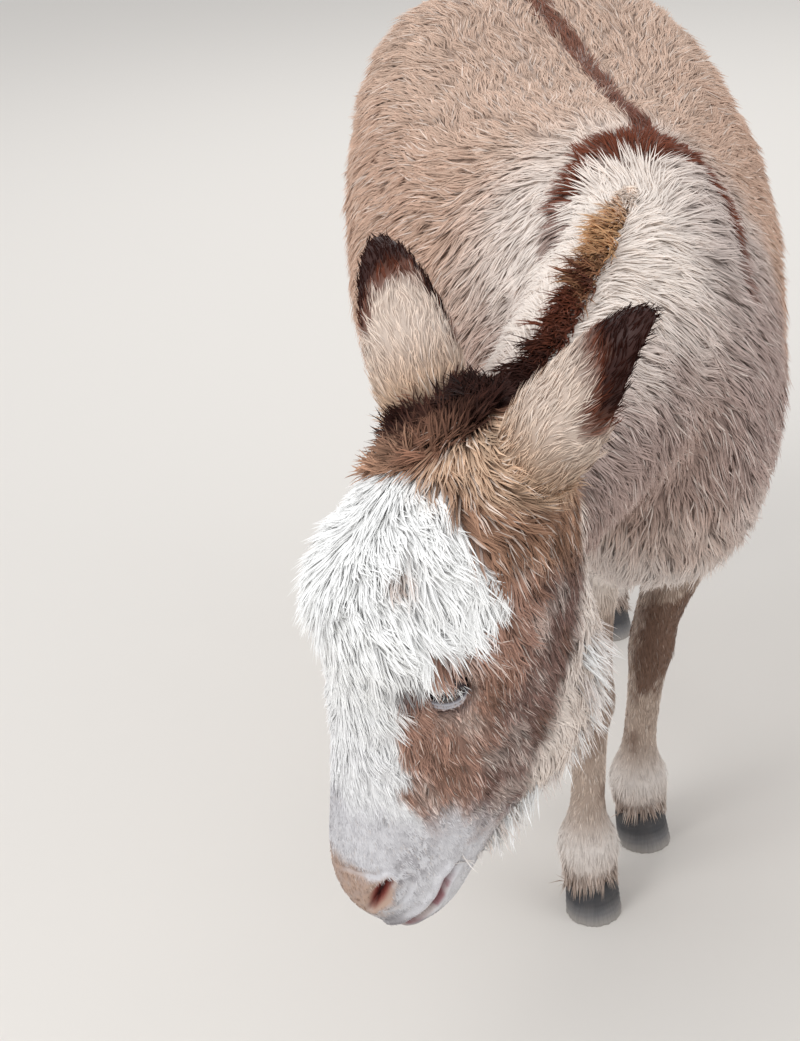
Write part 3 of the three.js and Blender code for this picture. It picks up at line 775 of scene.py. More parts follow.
def layOfCoat(points, normals, owner, local):
    y = points[:, 1]
    top = ramp(normals[:, 2], 0.50, 0.96)
    under = ramp(-normals[:, 2], 0.45, 0.85)
    back = 0.30 + 0.45 * ramp(y, -0.20, 0.10) - 0.25 * ramp(y, 0.38, 0.56) + 0.6 * top + 0.9 * under
    lay = np.stack([0.25 * normals[:, 0], back, -0.95 + 0.55 * top], axis=1)
    neckPart = owner == 1
    lay[neckPart] = np.array([0.32, 0.42, -0.80])

    localNormals = normals @ headMatrix
    facing = ramp(localNormals[:, 2], 0.10, 0.75)
    along = -local[:, 1]
    spread = np.tanh(local[:, 0] / 0.030)
    outward = (0.35 + 0.75 * ramp(along, 0.17, 0.07)) * spread
    face = np.stack([outward, -np.ones(len(points)) * 0.80, -0.30 * np.abs(spread)], axis=1)
    cheek = np.tile([0.0, -0.62, -0.72], (len(points), 1))
    headLay = cheek + (face - cheek) * facing[:, None]
    whorl = local - np.array([0.020, -0.120, 0.030])
    turn = 1.5 * np.exp(-np.sum(whorl * whorl, axis=1) / 0.030 ** 2)
    headLay = headLay + np.cross(localNormals, headLay) * turn[:, None]
    headLay = headLay @ headMatrix.T
    jaw = ramp(local[:, 2], -0.140, -0.175)
    headLay += np.array([0.0, 0.0, -1.0]) * jaw[:, None]
    mine = owner == 2
    lay[mine] = headLay[mine]

    for index, (root, tip) in earRoots.items():
        axis = np.array(tip) - np.array(root)
        lay[owner == index] = headMatrix @ (axis / np.linalg.norm(axis))
    lay[owner >= 5] = np.array([0.0, 0.12, -1.0])
    return lay


def tangent(vectors, normals):
    return unit(vectors - normals * dot(vectors, normals))


def toward(values, aim, share):
    return values + (aim - values) * share


kindOf = np.array(bodyKinds)[skinOwner]
onLeg = skinOwner >= 5
heightUp = skinPoints[:, 2]
depth = skinLocal[:, 2]
furLong = np.array([coatSettings["long"][k] for k in kindOf])
furMany = np.array([float(coatSettings["many"][k]) for k in kindOf])
brow = onHead * ramp(skinAlong, 0.165, 0.125) * ramp(depth, -0.11, -0.05)
bridge = onHead * ramp(depth, -0.055, -0.015) * ramp(skinAlong, 0.13, 0.16)
coronet = onLeg * ramp(heightUp, 0.064, 0.052)
for name, share in (("brow", brow), ("bridge", bridge),
                    ("jaw", onHead * ramp(depth, -0.140, -0.170)),
                    ("cannon", onLeg * ramp(heightUp, 0.22, 0.12)),
                    ("fetlock", onLeg * blob(skinPoints * [0, 0, 1], (0, 0, 0.064), (1, 1, 0.026))),
                    ("coronet", coronet),
                    ("thigh", onLeg * ramp(heightUp, 0.36, 0.44))):
    furLong = toward(furLong, coatSettings[name], share)
furLong *= 1 - 0.35 * (kindOf == "ear") * ramp(earPlace(skinLocal, skinOwner)[0], 0.55, 0.95)
furLong = toward(furLong, coatSettings["back"], (skinOwner == 0) * ramp(skinNormals[:, 2], 0.80, 0.97))
furLong = relax(furLong, skinPairs, 30)
short = onHead * ramp(skinAlong + 0.016 * (cloud(skinPoints, 0.02, 4) - 0.5), 0.225, 0.318)
furLong = toward(furLong, coatSettings["muzzle"], short)
furLong *= 1 - 0.45 * onHead * ramp(faceMarks[:, 1], 0.014, 0.007) * ramp(skinAlong, 0.30, 0.33)
eyeOff = foldHalves(skinLocal) - eyeAt
eyeAway = lengthOf(eyeOff)
belowEye = onHead * ramp(eyeAway, 0.050, 0.030)
shortest = np.minimum(furLong, coatSettings["belowEye"])
furLong += (shortest - furLong) * belowEye * ramp(depth, -0.020, -0.036)
furLong[bodyCount:] = coatSettings["lid"]
furWide = np.clip(coatSettings["wide"] * furLong, coatSettings["thinnest"], coatSettings["widest"])

furMany = toward(furMany, coatSettings["browMany"], np.maximum(brow, bridge))
furMany = relax(furMany, skinPairs, 10)
furMany = toward(furMany, coatSettings["muzzleMany"], ramp(short, 0.2, 1.0))
furMany *= 1 + 0.25 * onHead * ramp(furLong, 0.019, 0.013) * (1 - short)
bare = onHead * np.maximum(ramp(faceMarks[:, 0], 1.35, 1.05), ramp(faceMarks[:, 1], 0.0072, 0.0056))
onSnip = onHead * ramp(skinAlong, 0.350, 0.372) * ramp(depth, -0.056, -0.040)
slitPart = eyeOff @ unit(np.array(lidSettings["lean"])[None])[0]
lowerSide = ramp(-eyeOff[:, 1] - 0.4 * eyeOff[:, 2], 0.000, 0.003)
acrossSlit = np.sqrt(np.maximum(eyeAway ** 2 - slitPart ** 2, 0)) * (1 + 0.7 * lowerSide)
bare = np.maximum(np.maximum(bare, 0.72 * onSnip),
                  onHead * ramp(np.hypot(slitPart, acrossSlit), 0.0215, 0.0195))
crossAway = np.minimum(*(lineDistance(skinPoints, arm, skinNormals)[0] for arm in (crossRight, crossLeft)))
nearCross = (skinOwner <= 1) * ramp(crossAway, 0.050, 0.025)
furLong *= 1 - 0.24 * nearCross
for factor in (1 - bare, 1 + 0.9 * belowEye, 1 + 1.4 * coronet, 1 + 0.35 * nearCross):
    furMany *= factor
onLowerLid = (ringIndex >= 3) & (columnTurn < -0.20)
furMany[bodyCount:] = np.where(onLowerLid, coatSettings["lidMany"], 0)
furMany *= 1 - onLeg * (heightUp < 0.06) * ramp(-skinNormals[:, 2], 0.25, 0.45)
furLay = relax(layOfCoat(skinPoints, skinNormals, skinOwner, skinLocal), skinPairs, 30)
furLay = tangent(furLay, skinNormals)
print("lie of the coat worked out")

triangles = np.empty(len(skin.data.polygons) * 3, np.int32)
skin.data.polygons.foreach_get("vertices", triangles)
triangles = triangles.reshape(-1, 3)
corners = skinPoints[triangles]
crossed = np.cross(corners[:, 1] - corners[:, 0], corners[:, 2] - corners[:, 0])
triangleArea = 0.5 * lengthOf(crossed)
triangleMany = furMany[triangles].min(axis=1) * triangleArea
triangleOwner = skinOwner[triangles[:, 0]]
triangleNormals = skinNormals[triangles[:, 0]]
triangleMiddle = corners.mean(axis=1)
triangleAlong = -toHead(triangleMiddle)[:, 1]


def evenly(zone, many):
    # So many roots, spread over a zone of triangles by area.
    shares = np.where(zone, triangleArea, 0)
    return shares * (many / shares.sum())


def spreadRoots(expected):
    # Roots over the triangles, as many as expected on each, in an order that repeats each run.
    steps = np.floor(np.cumsum(expected) + rng.random()).astype(int)
    count = np.diff(np.concatenate([[0], steps]))
    picked = np.repeat(np.arange(len(triangles)), np.maximum(count, 0))
    a, b = rng.random(len(picked)), rng.random(len(picked))
    over = a + b > 1
    a[over], b[over] = 1 - a[over], 1 - b[over]
    weight = np.stack([1 - a - b, a, b], axis=1)

    def blend(values):
        parts = values[triangles[picked]]
        return np.einsum("ij,ij...->i...", weight, parts)

    return picked, blend


def turnOf(x, z):
    return np.arctan2(x, z) / (2 * math.pi) + 0.5


def unwrap(points, owner):
    # Each part of the body opened out flat round its own length: u is the turn, v the length.
    local = toHead(points)
    x, y, z = points.T
    radius = np.hypot(x - 0.055, z - 0.60)
    length = y + np.sign(y - 0.1) * 0.4 * (0.25 - radius)
    turn = turnOf(x - 0.055, z - 0.60)
    place = np.stack([0.02 + 0.96 * turn, 0.04 + 0.44 * (length + 0.42) / 1.15], axis=1)

    def fill(index, u, v):
        mine = owner == index
        place[mine] = np.stack([u, v], axis=1)[mine]

    fill(1, 0.02 + 0.46 * turnOf(x - 0.6 * y - 0.14, z - 0.65), 0.52 + 0.14 * (-y - 0.15) / 0.36)
    radius = np.hypot(local[:, 0], local[:, 2] + 0.065)
    length = -local[:, 1] + np.sign(-local[:, 1] - 0.18) * 0.5 * np.maximum(0, 0.07 - radius)
    fill(2, 0.02 + 0.46 * turnOf(local[:, 0], local[:, 2] + 0.065), 0.70 + 0.26 * (length + 0.06) / 0.50)
    for index, left in ((3, 0.52), (4, 0.76)):
        root, tip = (np.array(p) for p in earRoots[index])
        axis = tip - root
        t = ((local - root) @ axis) / (axis @ axis)
        off = local - root - t[:, None] * axis
        fill(index, left + 0.21 * turnOf(off[:, 0], off[:, 2]), 0.52 + 0.13 * np.clip(t, -0.1, 1.1))
    for index, left, middle in ((5, 0.52, (0.085, -0.060)), (6, 0.64, (0.0, -0.145)),
                                (7, 0.76, (0.155, 0.480)), (8, 0.88, (-0.028, 0.430))):
        fill(index, left + 0.11 * turnOf(x - middle[0], y - middle[1]), 0.70 + 0.28 * z / 0.62)
    return np.clip(place, 0.002, 0.998)


fullTurn = 6.28


def vary(base, extra, count):
    return base + extra * rng.random(count)


def spin(vectors, axes, angle):
    c, s = np.cos(angle)[:, None], np.sin(angle)[:, None]
    return vectors * c + np.cross(axes, vectors) * s


ringPlaces = {1: [0.40], 2: [0.26, 0.64], 3: [0.18, 0.44, 0.74], 5: [0.10, 0.27, 0.46, 0.66, 0.85]}
ringWidths = {1: [1.0], 2: [1.0, 0.80], 3: [0.9, 1.0, 0.66], 5: [0.8, 1.0, 0.95, 0.75, 0.42]}


def tuftPath(roots, normals, lay, long, tuft, steps=10):
    # Walks each tuft from its root, settling towards the skin and bending sideways as it goes.
    lift, settle = np.radians(tuft["lift"]), np.radians(tuft["settle"])
    centre = roots - normals * np.minimum(0.0012, 0.07 * long)[:, None]
    path, ways, heads = [centre], [lay], [lay]
    for k in range(steps):
        part = (k + 0.5) / steps
        angle = (lift + (settle - lift) * part ** 0.6)[:, None]
        turn = tuft["bend"] * part + tuft["wave"] * np.sin(tuft["phase"] + part * tuft["turns"])
        way = spin(lay, normals, turn)
        heading = np.cos(angle) * way + np.sin(angle) * normals
        centre = centre + heading * (long / steps)[:, None]
        path.append(centre)
        ways.append(way)
        heads.append(heading)
    return path, ways, heads


def buildTufts(name, roots, normals, lay, long, wide, colours, tuft, owner, rings=2, flat=0.34):
    # One closed, three-sided lock for each root, pointed at both ends, all in one mesh.
    count, steps = len(roots), 10
    path, ways, heads = tuftPath(roots, normals, lay, long, tuft, steps)
    roll = rng.normal(0, 0.35, count)

    def at(part):
        low = min(int(part * steps), steps - 1)
        share = part * steps - low
        here = path[low] + (path[low + 1] - path[low]) * share
        way, heading = ways[low + 1], heads[low + 1]
        side = unit(np.cross(normals, way))
        up = unit(np.cross(heading, side))
        up = up * np.sign(dot(up, normals) + 1e-6)
        return here + tuft["gather"] * part ** 1.4, side, up

    zero = np.zeros(count)
    here, side, up = at(0)
    points, part, above, below = [here[:, None]], [0.0], [up[:, None]], [-up[:, None]]
    strand = [np.stack([zero, zero, tuft["tone"]], 1)[:, None]]
    for place, share in zip(ringPlaces[rings], ringWidths[rings]):
        here, side, up = at(place)
        soft = unit(up + normals * 0.35)
        rolled = side * np.cos(roll)[:, None] + normals * np.sin(roll)[:, None]
        half = (wide * share / 2)[:, None]
        ridge = here + up * half * 2 * flat
        points.append(np.stack([here + rolled * half, here - rolled * half, ridge], axis=1))
        across = np.stack([half[:, 0], -half[:, 0], zero], axis=1)
        run = np.repeat((long * place)[:, None], 3, 1)
        strand.append(np.stack([across, run, np.repeat(tuft["tone"][:, None], 3, 1)], axis=2))
        part += [place] * 3
        above.append(np.stack([unit(soft + side * 0.5), unit(soft - side * 0.5), soft], axis=1))
        below.append(np.stack([unit(side - up), unit(-side - up), -up], axis=1))
    here, side, up = at(1.0)
    points.append(here[:, None])
    strand.append(np.stack([zero, long, tuft["tone"]], 1)[:, None])
    part.append(1.0)
    above.append(up[:, None])
    below.append(-up[:, None])
    points, strand, above, below = (np.concatenate(v, axis=1) for v in (points, strand, above, below))
    part = np.array(part)
    each = len(part)
    pattern = [(0, 1 + (k + 1) % 3, 1 + k) for k in range(3)]
    for j in range(rings - 1):
        for k in range(3):
            a, b = 1 + 3 * j + k, 1 + 3 * j + (k + 1) % 3
            pattern += [(a, b, b + 3), (a, b + 3, a + 3)]
    last = 1 + 3 * (rings - 1)
    pattern += [(last + k, last + (k + 1) % 3, each - 1) for k in range(3)]
    pattern = np.array(pattern)
    underside = ~np.any((pattern % 3 == 0) & (pattern > 0) & (pattern < each - 1), axis=1)
    sample = points[0][pattern]
    volume = np.sum(np.cross(sample[:, 0], sample[:, 1]) * sample[:, 2])
    if volume < 0:
        pattern = pattern[:, ::-1]
    faces = (np.arange(count)[:, None, None] * each + pattern[None]).reshape(-1, 3)

    mesh = bpy.data.meshes.new(name)
    mesh.vertices.add(count * each)
    mesh.vertices.foreach_set("co", points.astype(np.float32).ravel())
    mesh.loops.add(faces.size)
    mesh.loops.foreach_set("vertex_index", faces.astype(np.int32).ravel())
    mesh.polygons.add(len(faces))
    mesh.polygons.foreach_set("loop_start", np.arange(0, faces.size, 3, dtype=np.int32))
    mesh.polygons.foreach_set("use_smooth", np.ones(len(faces), bool))
    mesh.update(calc_edges=True)
    # Each tuft runs from its root colour, darkened as painted shade deep in the coat, to its own colour half
    # way up, and is lighter at the tip.
    rise = np.clip(part * 2.0, 0, 1)[None, :, None]
    whole = tuft["shadedRootColour"][:, None] + (colours - tuft["shadedRootColour"])[:, None] * rise
    whole = whole * (1 + tuft.get("tipLight", 0.14) * np.clip(part * 2 - 1, 0, 1))[None, :, None]
    setColour(mesh, "paint", whole.reshape(-1, 3))
    setVectors(mesh, "strand", strand)
    patch = unwrap(roots, owner)
    spreadAcross = strand[:, :, 0] / np.maximum(wide, 1e-6)[:, None]
    inPatch = np.stack([spreadAcross, np.broadcast_to(part - 0.5, (count, each))], axis=2)
    uv = patch[:, None, :] + 0.003 * inPatch
    layer = mesh.uv_layers.new(name="OFBake")
    layer.uv.foreach_set("vector", uv.reshape(-1, 2)[faces.ravel()].astype(np.float32).ravel())
    shading = np.where(underside[None, :, None, None], below[:, pattern], above[:, pattern])
    mesh.normals_split_custom_set(shading.reshape(-1, 3).astype(np.float32))
    return newObject(name, mesh)


def clumpsOf(roots, perClump):
    # Gives each root the lock it belongs to, with about so many roots in each.
    wanted = int(np.clip(len(roots) / perClump, 6, len(roots)))
    centres = rng.choice(len(roots), wanted, replace=False)
    tree = KDTree(wanted)
    for i, index in enumerate(centres):
        tree.insert(roots[index], i)
    tree.balance()
    mine = np.array([tree.find(p)[1] for p in roots])
    pull = roots[centres][mine] - roots
    return centres, mine, pull


def growCoat(name, chosen, rings=1, pull=1.0, sway=1.0, perClump=9, lift=1.0, paleShare=0.10, toneSpread=1.0):
    picked, blend = spreadRoots(np.where(chosen, triangleMany, 0.0))
    roots, normals = blend(skinPoints), unit(blend(skinNormals))
    lay, long, wide = tangent(blend(furLay), normals), blend(furLong), blend(furWide)
    owner = triangleOwner[picked]
    centres, mine, gather = clumpsOf(roots, perClump)
    count, clumpCount = len(roots), len(centres)
    drift = coatSettings["sway"] * sway
    turn = (cloud(roots, 0.060, 7) - 0.5) * 1.8 * drift + (cloud(roots, 0.022, 8) - 0.5) * 1.5 * drift
    turn += (rng.random(clumpCount) - 0.5)[mine] * 0.75 * drift + rng.normal(0, 0.12, count) * drift
    lay = spin(lay, normals, turn)
    size = vary(0.80, 0.40, clumpCount)[mine] * vary(0.80, 0.4, count)
    long = long * size
    gather -= normals * dot(gather, normals)
    reach = lengthOf(gather)
    middle = np.median(reach)
    gather *= np.minimum(1.0, 0.5 * long / np.maximum(reach, 1e-6))[:, None]
    reaching = np.where(owner <= 1, 0.72, 0.60) * long
    shown = roots + normals * (long * 0.28)[:, None] + lay * reaching[:, None]
    colours = coatColour(shown, normals, owner)
    tone = toneSpread * (rng.normal(0, 0.060, clumpCount)[mine] + rng.normal(0, 0.070, count))
    # Tufts at the edge of a lock are painted darker and those near its centre lighter: painted shade between
    # the locks.
    tone += 0.14 * (0.6 - np.clip(reach / (2 * middle), 0, 1.2))
    white = ramp(colours.min(axis=1), 0.40, 0.75)
    pale = (rng.random(count) < paleShare) * (1 - white) * 0.5 * ramp(colours.max(axis=1), 0.10, 0.30)
    colours = mix(colours, linear("cream"), pale)
    colours = toned(colours, tone * (1 - 0.7 * white))
    # Roots are painted darker, as painted shade deep in the coat; white hair keeps nearly its own colour
    # there.
    shadedRootColour = colours * 0.42 + np.minimum(linear("root") * 0.20, colours * 0.5)
    shadedRootColour = shadedRootColour + (colours * 0.97 - shadedRootColour) * white[:, None]
    tuft = {
        "lift": coatSettings["lift"] * lift * vary(0.8, 0.4, clumpCount)[mine] * vary(0.9, 0.2, count),
        "settle": coatSettings["settle"] * lift + rng.normal(0, 2.6, count),
        "bend": rng.normal(0, 0.10, count) + (cloud(roots, 0.016, 9) - 0.5) * 1.8 * sway,
        "wave": vary(0.10, 0.30, clumpCount)[mine] * sway,
        "phase": (rng.random(clumpCount) * fullTurn)[mine],
        "turns": vary(3.0, 3.0, clumpCount)[mine],
        "gather": gather * coatSettings["clumpPull"] * pull,
        "tone": rng.random(count) * 10,
        "shadedRootColour": shadedRootColour,
        "tipLight": 0.22,
    }
    piece = buildTufts(name, roots, normals, lay, long, wide, colours, tuft, owner, rings)
    print(name + ":", count, "tufts,", len(piece.data.polygons), "triangles")
    return piece


trunkShare = np.where(triangleOwner == 0, triangleMany, 0)
order = np.argsort(triangleMiddle[:, 1])
running = np.cumsum(trunkShare[order])
trianglesPerTuft = 6
trunkPieces = int(math.ceil(running[-1] * trianglesPerTuft / coatSettings["piece"]))
cuts = [triangleMiddle[order][np.searchsorted(running, running[-1] * k / trunkPieces)][1]
        for k in range(1, trunkPieces)]
edges = [-9.0] + cuts + [9.0]
coat = []
for k in range(trunkPieces):
    band = (triangleOwner == 0) & (triangleMiddle[:, 1] >= edges[k]) & (triangleMiddle[:, 1] < edges[k + 1])
    coat.append(growCoat("coatTrunk" + "ABCDEFGH"[k], band, sway=0.85))
headPart = triangleOwner == 2
longPart = furLong[triangles[:, 0]] > coatSettings["longFrom"]
nosePart = triangleAlong > coatSettings["noseFrom"]
leftHalf = toHead(triangleMiddle)[:, 0] > 0
inFace = {"rings": 2, "sway": 1.05, "perClump": 12, "lift": 0.80, "toneSpread": 1.5}
onLegs = {"pull": 0.6, "sway": 0.4, "perClump": 7, "lift": 0.8}
for name, zone, values in (
    ("coatNeck", triangleOwner == 1, {}),
    ("coatFaceLeft", headPart & longPart & leftHalf, inFace),
    ("coatFaceRight", headPart & longPart & ~leftHalf, inFace),
    ("coatCheeks", headPart & ~longPart & ~nosePart,
     {"pull": 0.9, "sway": 0.5, "perClump": 8, "lift": 0.9, "paleShare": 0.11, "toneSpread": 2.8}),
    ("coatMuzzle", headPart & ~longPart & nosePart, {"pull": 0.3, "sway": 0.5, "perClump": 5, "lift": 0.6}),
    ("coatEars", np.isin(triangleOwner, [3, 4]),
     {"rings": 2, "pull": 0.9, "sway": 0.8, "perClump": 7, "lift": 0.9}),
    ("coatForelegs", np.isin(triangleOwner, [5, 6]), onLegs),
    ("coatHindlegs", np.isin(triangleOwner, [7, 8]), onLegs),
):
    coat.append(growCoat(name, zone, **values))

# The mane, the dark tuft between the ears and the tail are longer locks with more joints.
maneSettings = {
    "line": [(-0.150, -0.478, 0.738), (-0.131, -0.459, 0.749), (-0.102, -0.428, 0.767),
             (-0.062, -0.389, 0.776), (-0.031, -0.344, 0.796), (-0.004, -0.301, 0.811),
             (0.030, -0.235, 0.833), (0.048, -0.205, 0.842)],
    "half": 0.0085,
    "flat": 0.05,           # how much of a height counts as distance from the crest
    "many": 3200,
    "long": 0.033,
    "wide": 0.0018,
    "pollMany": 2600,
    "pollLong": 0.029,
    "pollWide": 0.0019,
    "poll": [(-0.214, -0.470, 0.714), (-0.196, -0.500, 0.722), (-0.170, -0.505, 0.735),
             (-0.150, -0.478, 0.738)],
    "pollMiddle": (0.022, -0.006, -0.010),
    "pollReach": 0.024,
    "pollFlat": 0.6,
}


def plant(zone, many):
    # So many roots in a zone, the way off the skin at each, and the part of the body it stands on.
    picked, blend = spreadRoots(evenly(zone, many))
    return blend(skinPoints), unit(blend(skinNormals)), triangleOwner[picked]


def longLocks(name, roots, normals, owner, lay, long, wide, colours, shadedRootColour,
              rings, lift, settle, bend, gather, wave=0.15):
    # Lift and settle are each an angle and how much it varies.
    count = len(roots)
    tuft = {
        "lift": lift[0] + rng.normal(0, lift[1], count),
        "settle": settle[0] + rng.normal(0, settle[1], count),
        "bend": rng.normal(0, bend, count),
        "wave": wave * vary(0.5, 1, count),
        "phase": rng.random(count) * fullTurn,
        "turns": vary(3.0, 3.0, count),
        "gather": gather,
        "tone": rng.random(count) * 10,
        "shadedRootColour": shadedRootColour,
    }
    lay = tangent(lay, normals)
    piece = buildTufts(name, roots, normals, lay, long, wide, colours, tuft, owner, rings, flat=0.5)
    print(name + ":", count, "tufts,", len(piece.data.polygons), "triangles")
    return piece


def besideLine(points, line, flat):
    # Distance sideways from a line over the body, height counting for less.
    squashed = [(x, y, z * flat) for x, y, z in line]
    return lineDistance(points * np.array([1, 1, flat]), squashed)


maneAway, _ = besideLine(triangleMiddle, maneSettings["line"], maneSettings["flat"])
onTopLine = triangleOwner <= 2
onCrest = (maneAway < maneSettings["half"]) & (triangleNormals[:, 2] > 0.2) & onTopLine
roots, normals, owner = plant(onCrest, maneSettings["many"])
_, part = besideLine(roots, maneSettings["line"], maneSettings["flat"])
count = len(roots)
crestWay = np.array([-0.66, -0.74, -0.15])
aside = np.array([0.74, -0.66, 0.0])
locks, mine, pull = clumpsOf(roots, 11)
sideOf = (np.where(rng.random(len(locks)) < 0.75, -1.0, 0.8) * vary(0.05, 0.45, len(locks)))[mine]
forward = vary(0.60, 0.65, len(locks))[mine]
lay = aside * sideOf[:, None] + crestWay * forward[:, None] + rng.normal(0, 0.12, (count, 3))
long = maneSettings["long"] * vary(0.7, 0.45, len(locks))[mine] * vary(0.8, 0.3, count)
long *= 1 - 0.45 * ramp(part, 0.80, 1.0)
wide = maneSettings["wide"] * vary(0.7, 0.6, count)
backAlong = part + 0.16 * (cloud(roots, 0.03, 11) - 0.5) + 0.10 * (rng.random(len(locks)) - 0.5)[mine]
colours = layered(
    plain("dark", count),
    ("stripe", 0.75 * ramp(backAlong, 0.22, 0.45)),
    ("golden", ramp(backAlong, 0.50, 0.68)),
    ("cream", 0.75 * ramp(backAlong, 0.84, 1.0)),
)
tone = rng.normal(0, 0.16, len(locks))[mine] + rng.normal(0, 0.10, count)
colours = toned(colours, tone)
# The mane's roots are mixed towards the stripe's brown and darkened, as painted shade deep in the mane.
rootDark = colours * 0.50 + linear("stripe") * 0.32
maneHair = longLocks("maneHair", roots, normals, owner, lay, long, wide, colours, rootDark,
                     rings=3, lift=(64, 9), settle=(16, 12), bend=0.35, gather=pull * 0.75, wave=0.2)

# Between the ears it stands in a dark ring round a brown middle.
local = toHead(triangleMiddle)
pollDistance, _ = besideLine(triangleMiddle, maneSettings["poll"], maneSettings["pollFlat"])
onPoll = onTopLine & (pollDistance < maneSettings["pollReach"]) & (triangleNormals[:, 2] > 0.0)
roots, normals, owner = plant(onPoll, maneSettings["pollMany"])
count = len(roots)
middle = fromHead(maneSettings["pollMiddle"])
locks, mine, pull = clumpsOf(roots, 12)
lay = unit(roots - middle + rng.normal(0, 0.012, (len(locks), 3))[mine] + rng.normal(0, 0.004, (count, 3)))
long = maneSettings["pollLong"] * vary(0.7, 0.5, len(locks))[mine] * vary(0.8, 0.3, count)
wide = maneSettings["pollWide"] * vary(0.7, 0.6, count)
grey = np.exp(-(lengthOf(roots - middle) / 0.021) ** 2)
pollX, _, pollZ = toHead(roots).T
colours = layered(
    plain("dark", count),
    ("poll", np.clip(grey * 1.3, 0, 1)),
    ("curl", 0.95 * ramp(pollZ, -0.006, 0.005) * ramp(pollX, 0.040, 0.015)),
)
tone = rng.normal(0, 0.18, len(locks))[mine] + rng.normal(0, 0.12, count)
colours = toned(colours, tone)
pollHair = longLocks("pollHair", roots, normals, owner, lay, long, wide, colours, colours * 0.55,
                     rings=3, lift=(62, 10), settle=(20, 12), bend=0.5, gather=pull * 0.7, wave=0.25)

# A thin fringe hangs under the jaw.
fringeSettings = {
    "many": 1300, "long": 0.034, "wide": 0.0014,
    "facingDown": 0.62, "from": 0.12, "to": 0.335, "below": -0.085, "highest": 0.54,
}
underJaw = -(triangleNormals @ headMatrix)[:, 2]
onJaw = (triangleOwner == 2) & (underJaw > fringeSettings["facingDown"])
onJaw &= (triangleAlong > fringeSettings["from"]) & (triangleAlong < fringeSettings["to"])
onJaw &= (local[:, 2] < fringeSettings["below"]) & (triangleMiddle[:, 2] < fringeSettings["highest"])
roots, normals, owner = plant(onJaw, fringeSettings["many"])
count = len(roots)
long = fringeSettings["long"] * vary(0.55, 0.6, count) * ramp(-toHead(roots)[:, 1], 0.350, 0.300)
locks, mine, pull = clumpsOf(roots, 9)
lay = np.array([0.02, 0.03, -1.0]) + rng.normal(0, 0.16, (len(locks), 3))[mine]
lay += rng.normal(0, 0.06, (count, 3))
wide = fringeSettings["wide"] * vary(0.7, 0.6, count)
colours = layered(plain("white", count), ("flank", 0.45 * rng.random(len(locks))[mine]))
colours = toned(colours, rng.normal(0, 0.10, count))
jawFringe = longLocks("jawFringe", roots, normals, owner, lay, long, wide, colours, colours * 0.8,
                      rings=2, lift=(52, 8), settle=(34, 10), bend=0.3, gather=pull * 0.7, wave=0.2)

tailSettings = {
    "line": [(0.059, 0.521, 0.806), (0.059, 0.561, 0.782), (0.060, 0.586, 0.726), (0.061, 0.593, 0.640),
             (0.062, 0.590, 0.540), (0.062, 0.583, 0.430), (0.062, 0.581, 0.318)],
    "many": 2100,
    "dockEnds": 0.62, "dockRings": 30, "dockAround": 18,
    "half": [(0.0, 0.019), (0.3, 0.014), (0.62, 0.008), (1.0, 0.004)],
    "shortest": 0.050,
    "endAt": 0.325,
}


def alongLine(line, t):
    line = np.array(line)
    steps = lengthOf(np.diff(line, axis=0))
    knots = np.concatenate([[0], np.cumsum(steps)]) / steps.sum()
    return np.stack([np.interp(t, knots, line[:, i]) for i in range(3)], axis=1)


def makeDock():
    ringsUp, around = tailSettings["dockRings"], tailSettings["dockAround"]
    t = np.linspace(0, tailSettings["dockEnds"], ringsUp)
    middle = alongLine(tailSettings["line"], t)
    half = np.interp(t, *zip(*tailSettings["half"]))
    angle = 2 * math.pi * np.arange(around) / around
    points = [tuple(middle[i] + half[i] * np.array([math.cos(a), math.sin(a) * 0.9, 0.25 * math.sin(a)]))
              for i in range(ringsUp) for a in angle]
    faces = []
    for i in range(ringsUp - 1):
        for k in range(around):
            a, b = i * around + k, i * around + (k + 1) % around
            faces.append((a, a + around, b + around, b))
    faces.append(tuple(range(around)))
    faces.append(tuple(reversed(range((ringsUp - 1) * around, ringsUp * around))))
    mesh = bpy.data.meshes.new("tailDock")
    mesh.from_pydata(points, [], faces)
    piece = newObject("tailDock", mesh)
    wholeMesh(piece, bpy.ops.mesh.normals_make_consistent, inside=False)
    bpy.ops.object.shade_smooth()
    return piece


tailDock = makeDock()
count = tailSettings["many"]
t = (np.arange(count) + rng.random(count)) / count
t = tailSettings["dockEnds"] * (0.10 + 0.88 * t ** 0.75)
middle = alongLine(tailSettings["line"], t)
half = np.interp(t, *zip(*tailSettings["half"]))
angle = rng.random(count) * 2 * math.pi
normals = np.stack([np.cos(angle), np.sin(angle), 0.1 * np.ones(count)], axis=1)
normals = unit(normals)
roots = middle + normals * half[:, None] * 0.95
lay = np.tile(np.array([0.0, 0.05, -1.0]), (count, 1)) + rng.normal(0, 0.05, (count, 3))
longest = roots[:, 2] - tailSettings["endAt"]
switch = ramp(t, 0.34, 0.56)
shortest = tailSettings["shortest"]
long = shortest + (longest * 0.99 - shortest) * switch * (0.50 + 0.50 * rng.random(count) ** 1.5)
wide = 0.0040 + 0.0016 * switch
onTop = np.abs(np.sin(angle / 2 - math.pi / 4)) < 0.25
colours = layered(
    plain("flank", count),
    ("knee", ramp(t, 0.20, 0.50)),
    ("stripe", 0.8 * onTop * ramp(t, 0.5, 0.3)),
    ("dark", 0.60 * switch),
)
colours = toned(colours, rng.normal(0, 0.15, count))
_, _, pull = clumpsOf(roots, 14)
pull = pull * np.minimum(1.0, 0.5 * long / np.maximum(lengthOf(pull), 1e-6))[:, None] * 0.9
tailHair = longLocks("tailHair", roots, normals, np.full(count, 8), lay, long, wide, colours, colours * 0.6,
                     rings=5, lift=(10, 3), settle=(0, 1.8), bend=0.10, gather=pull)

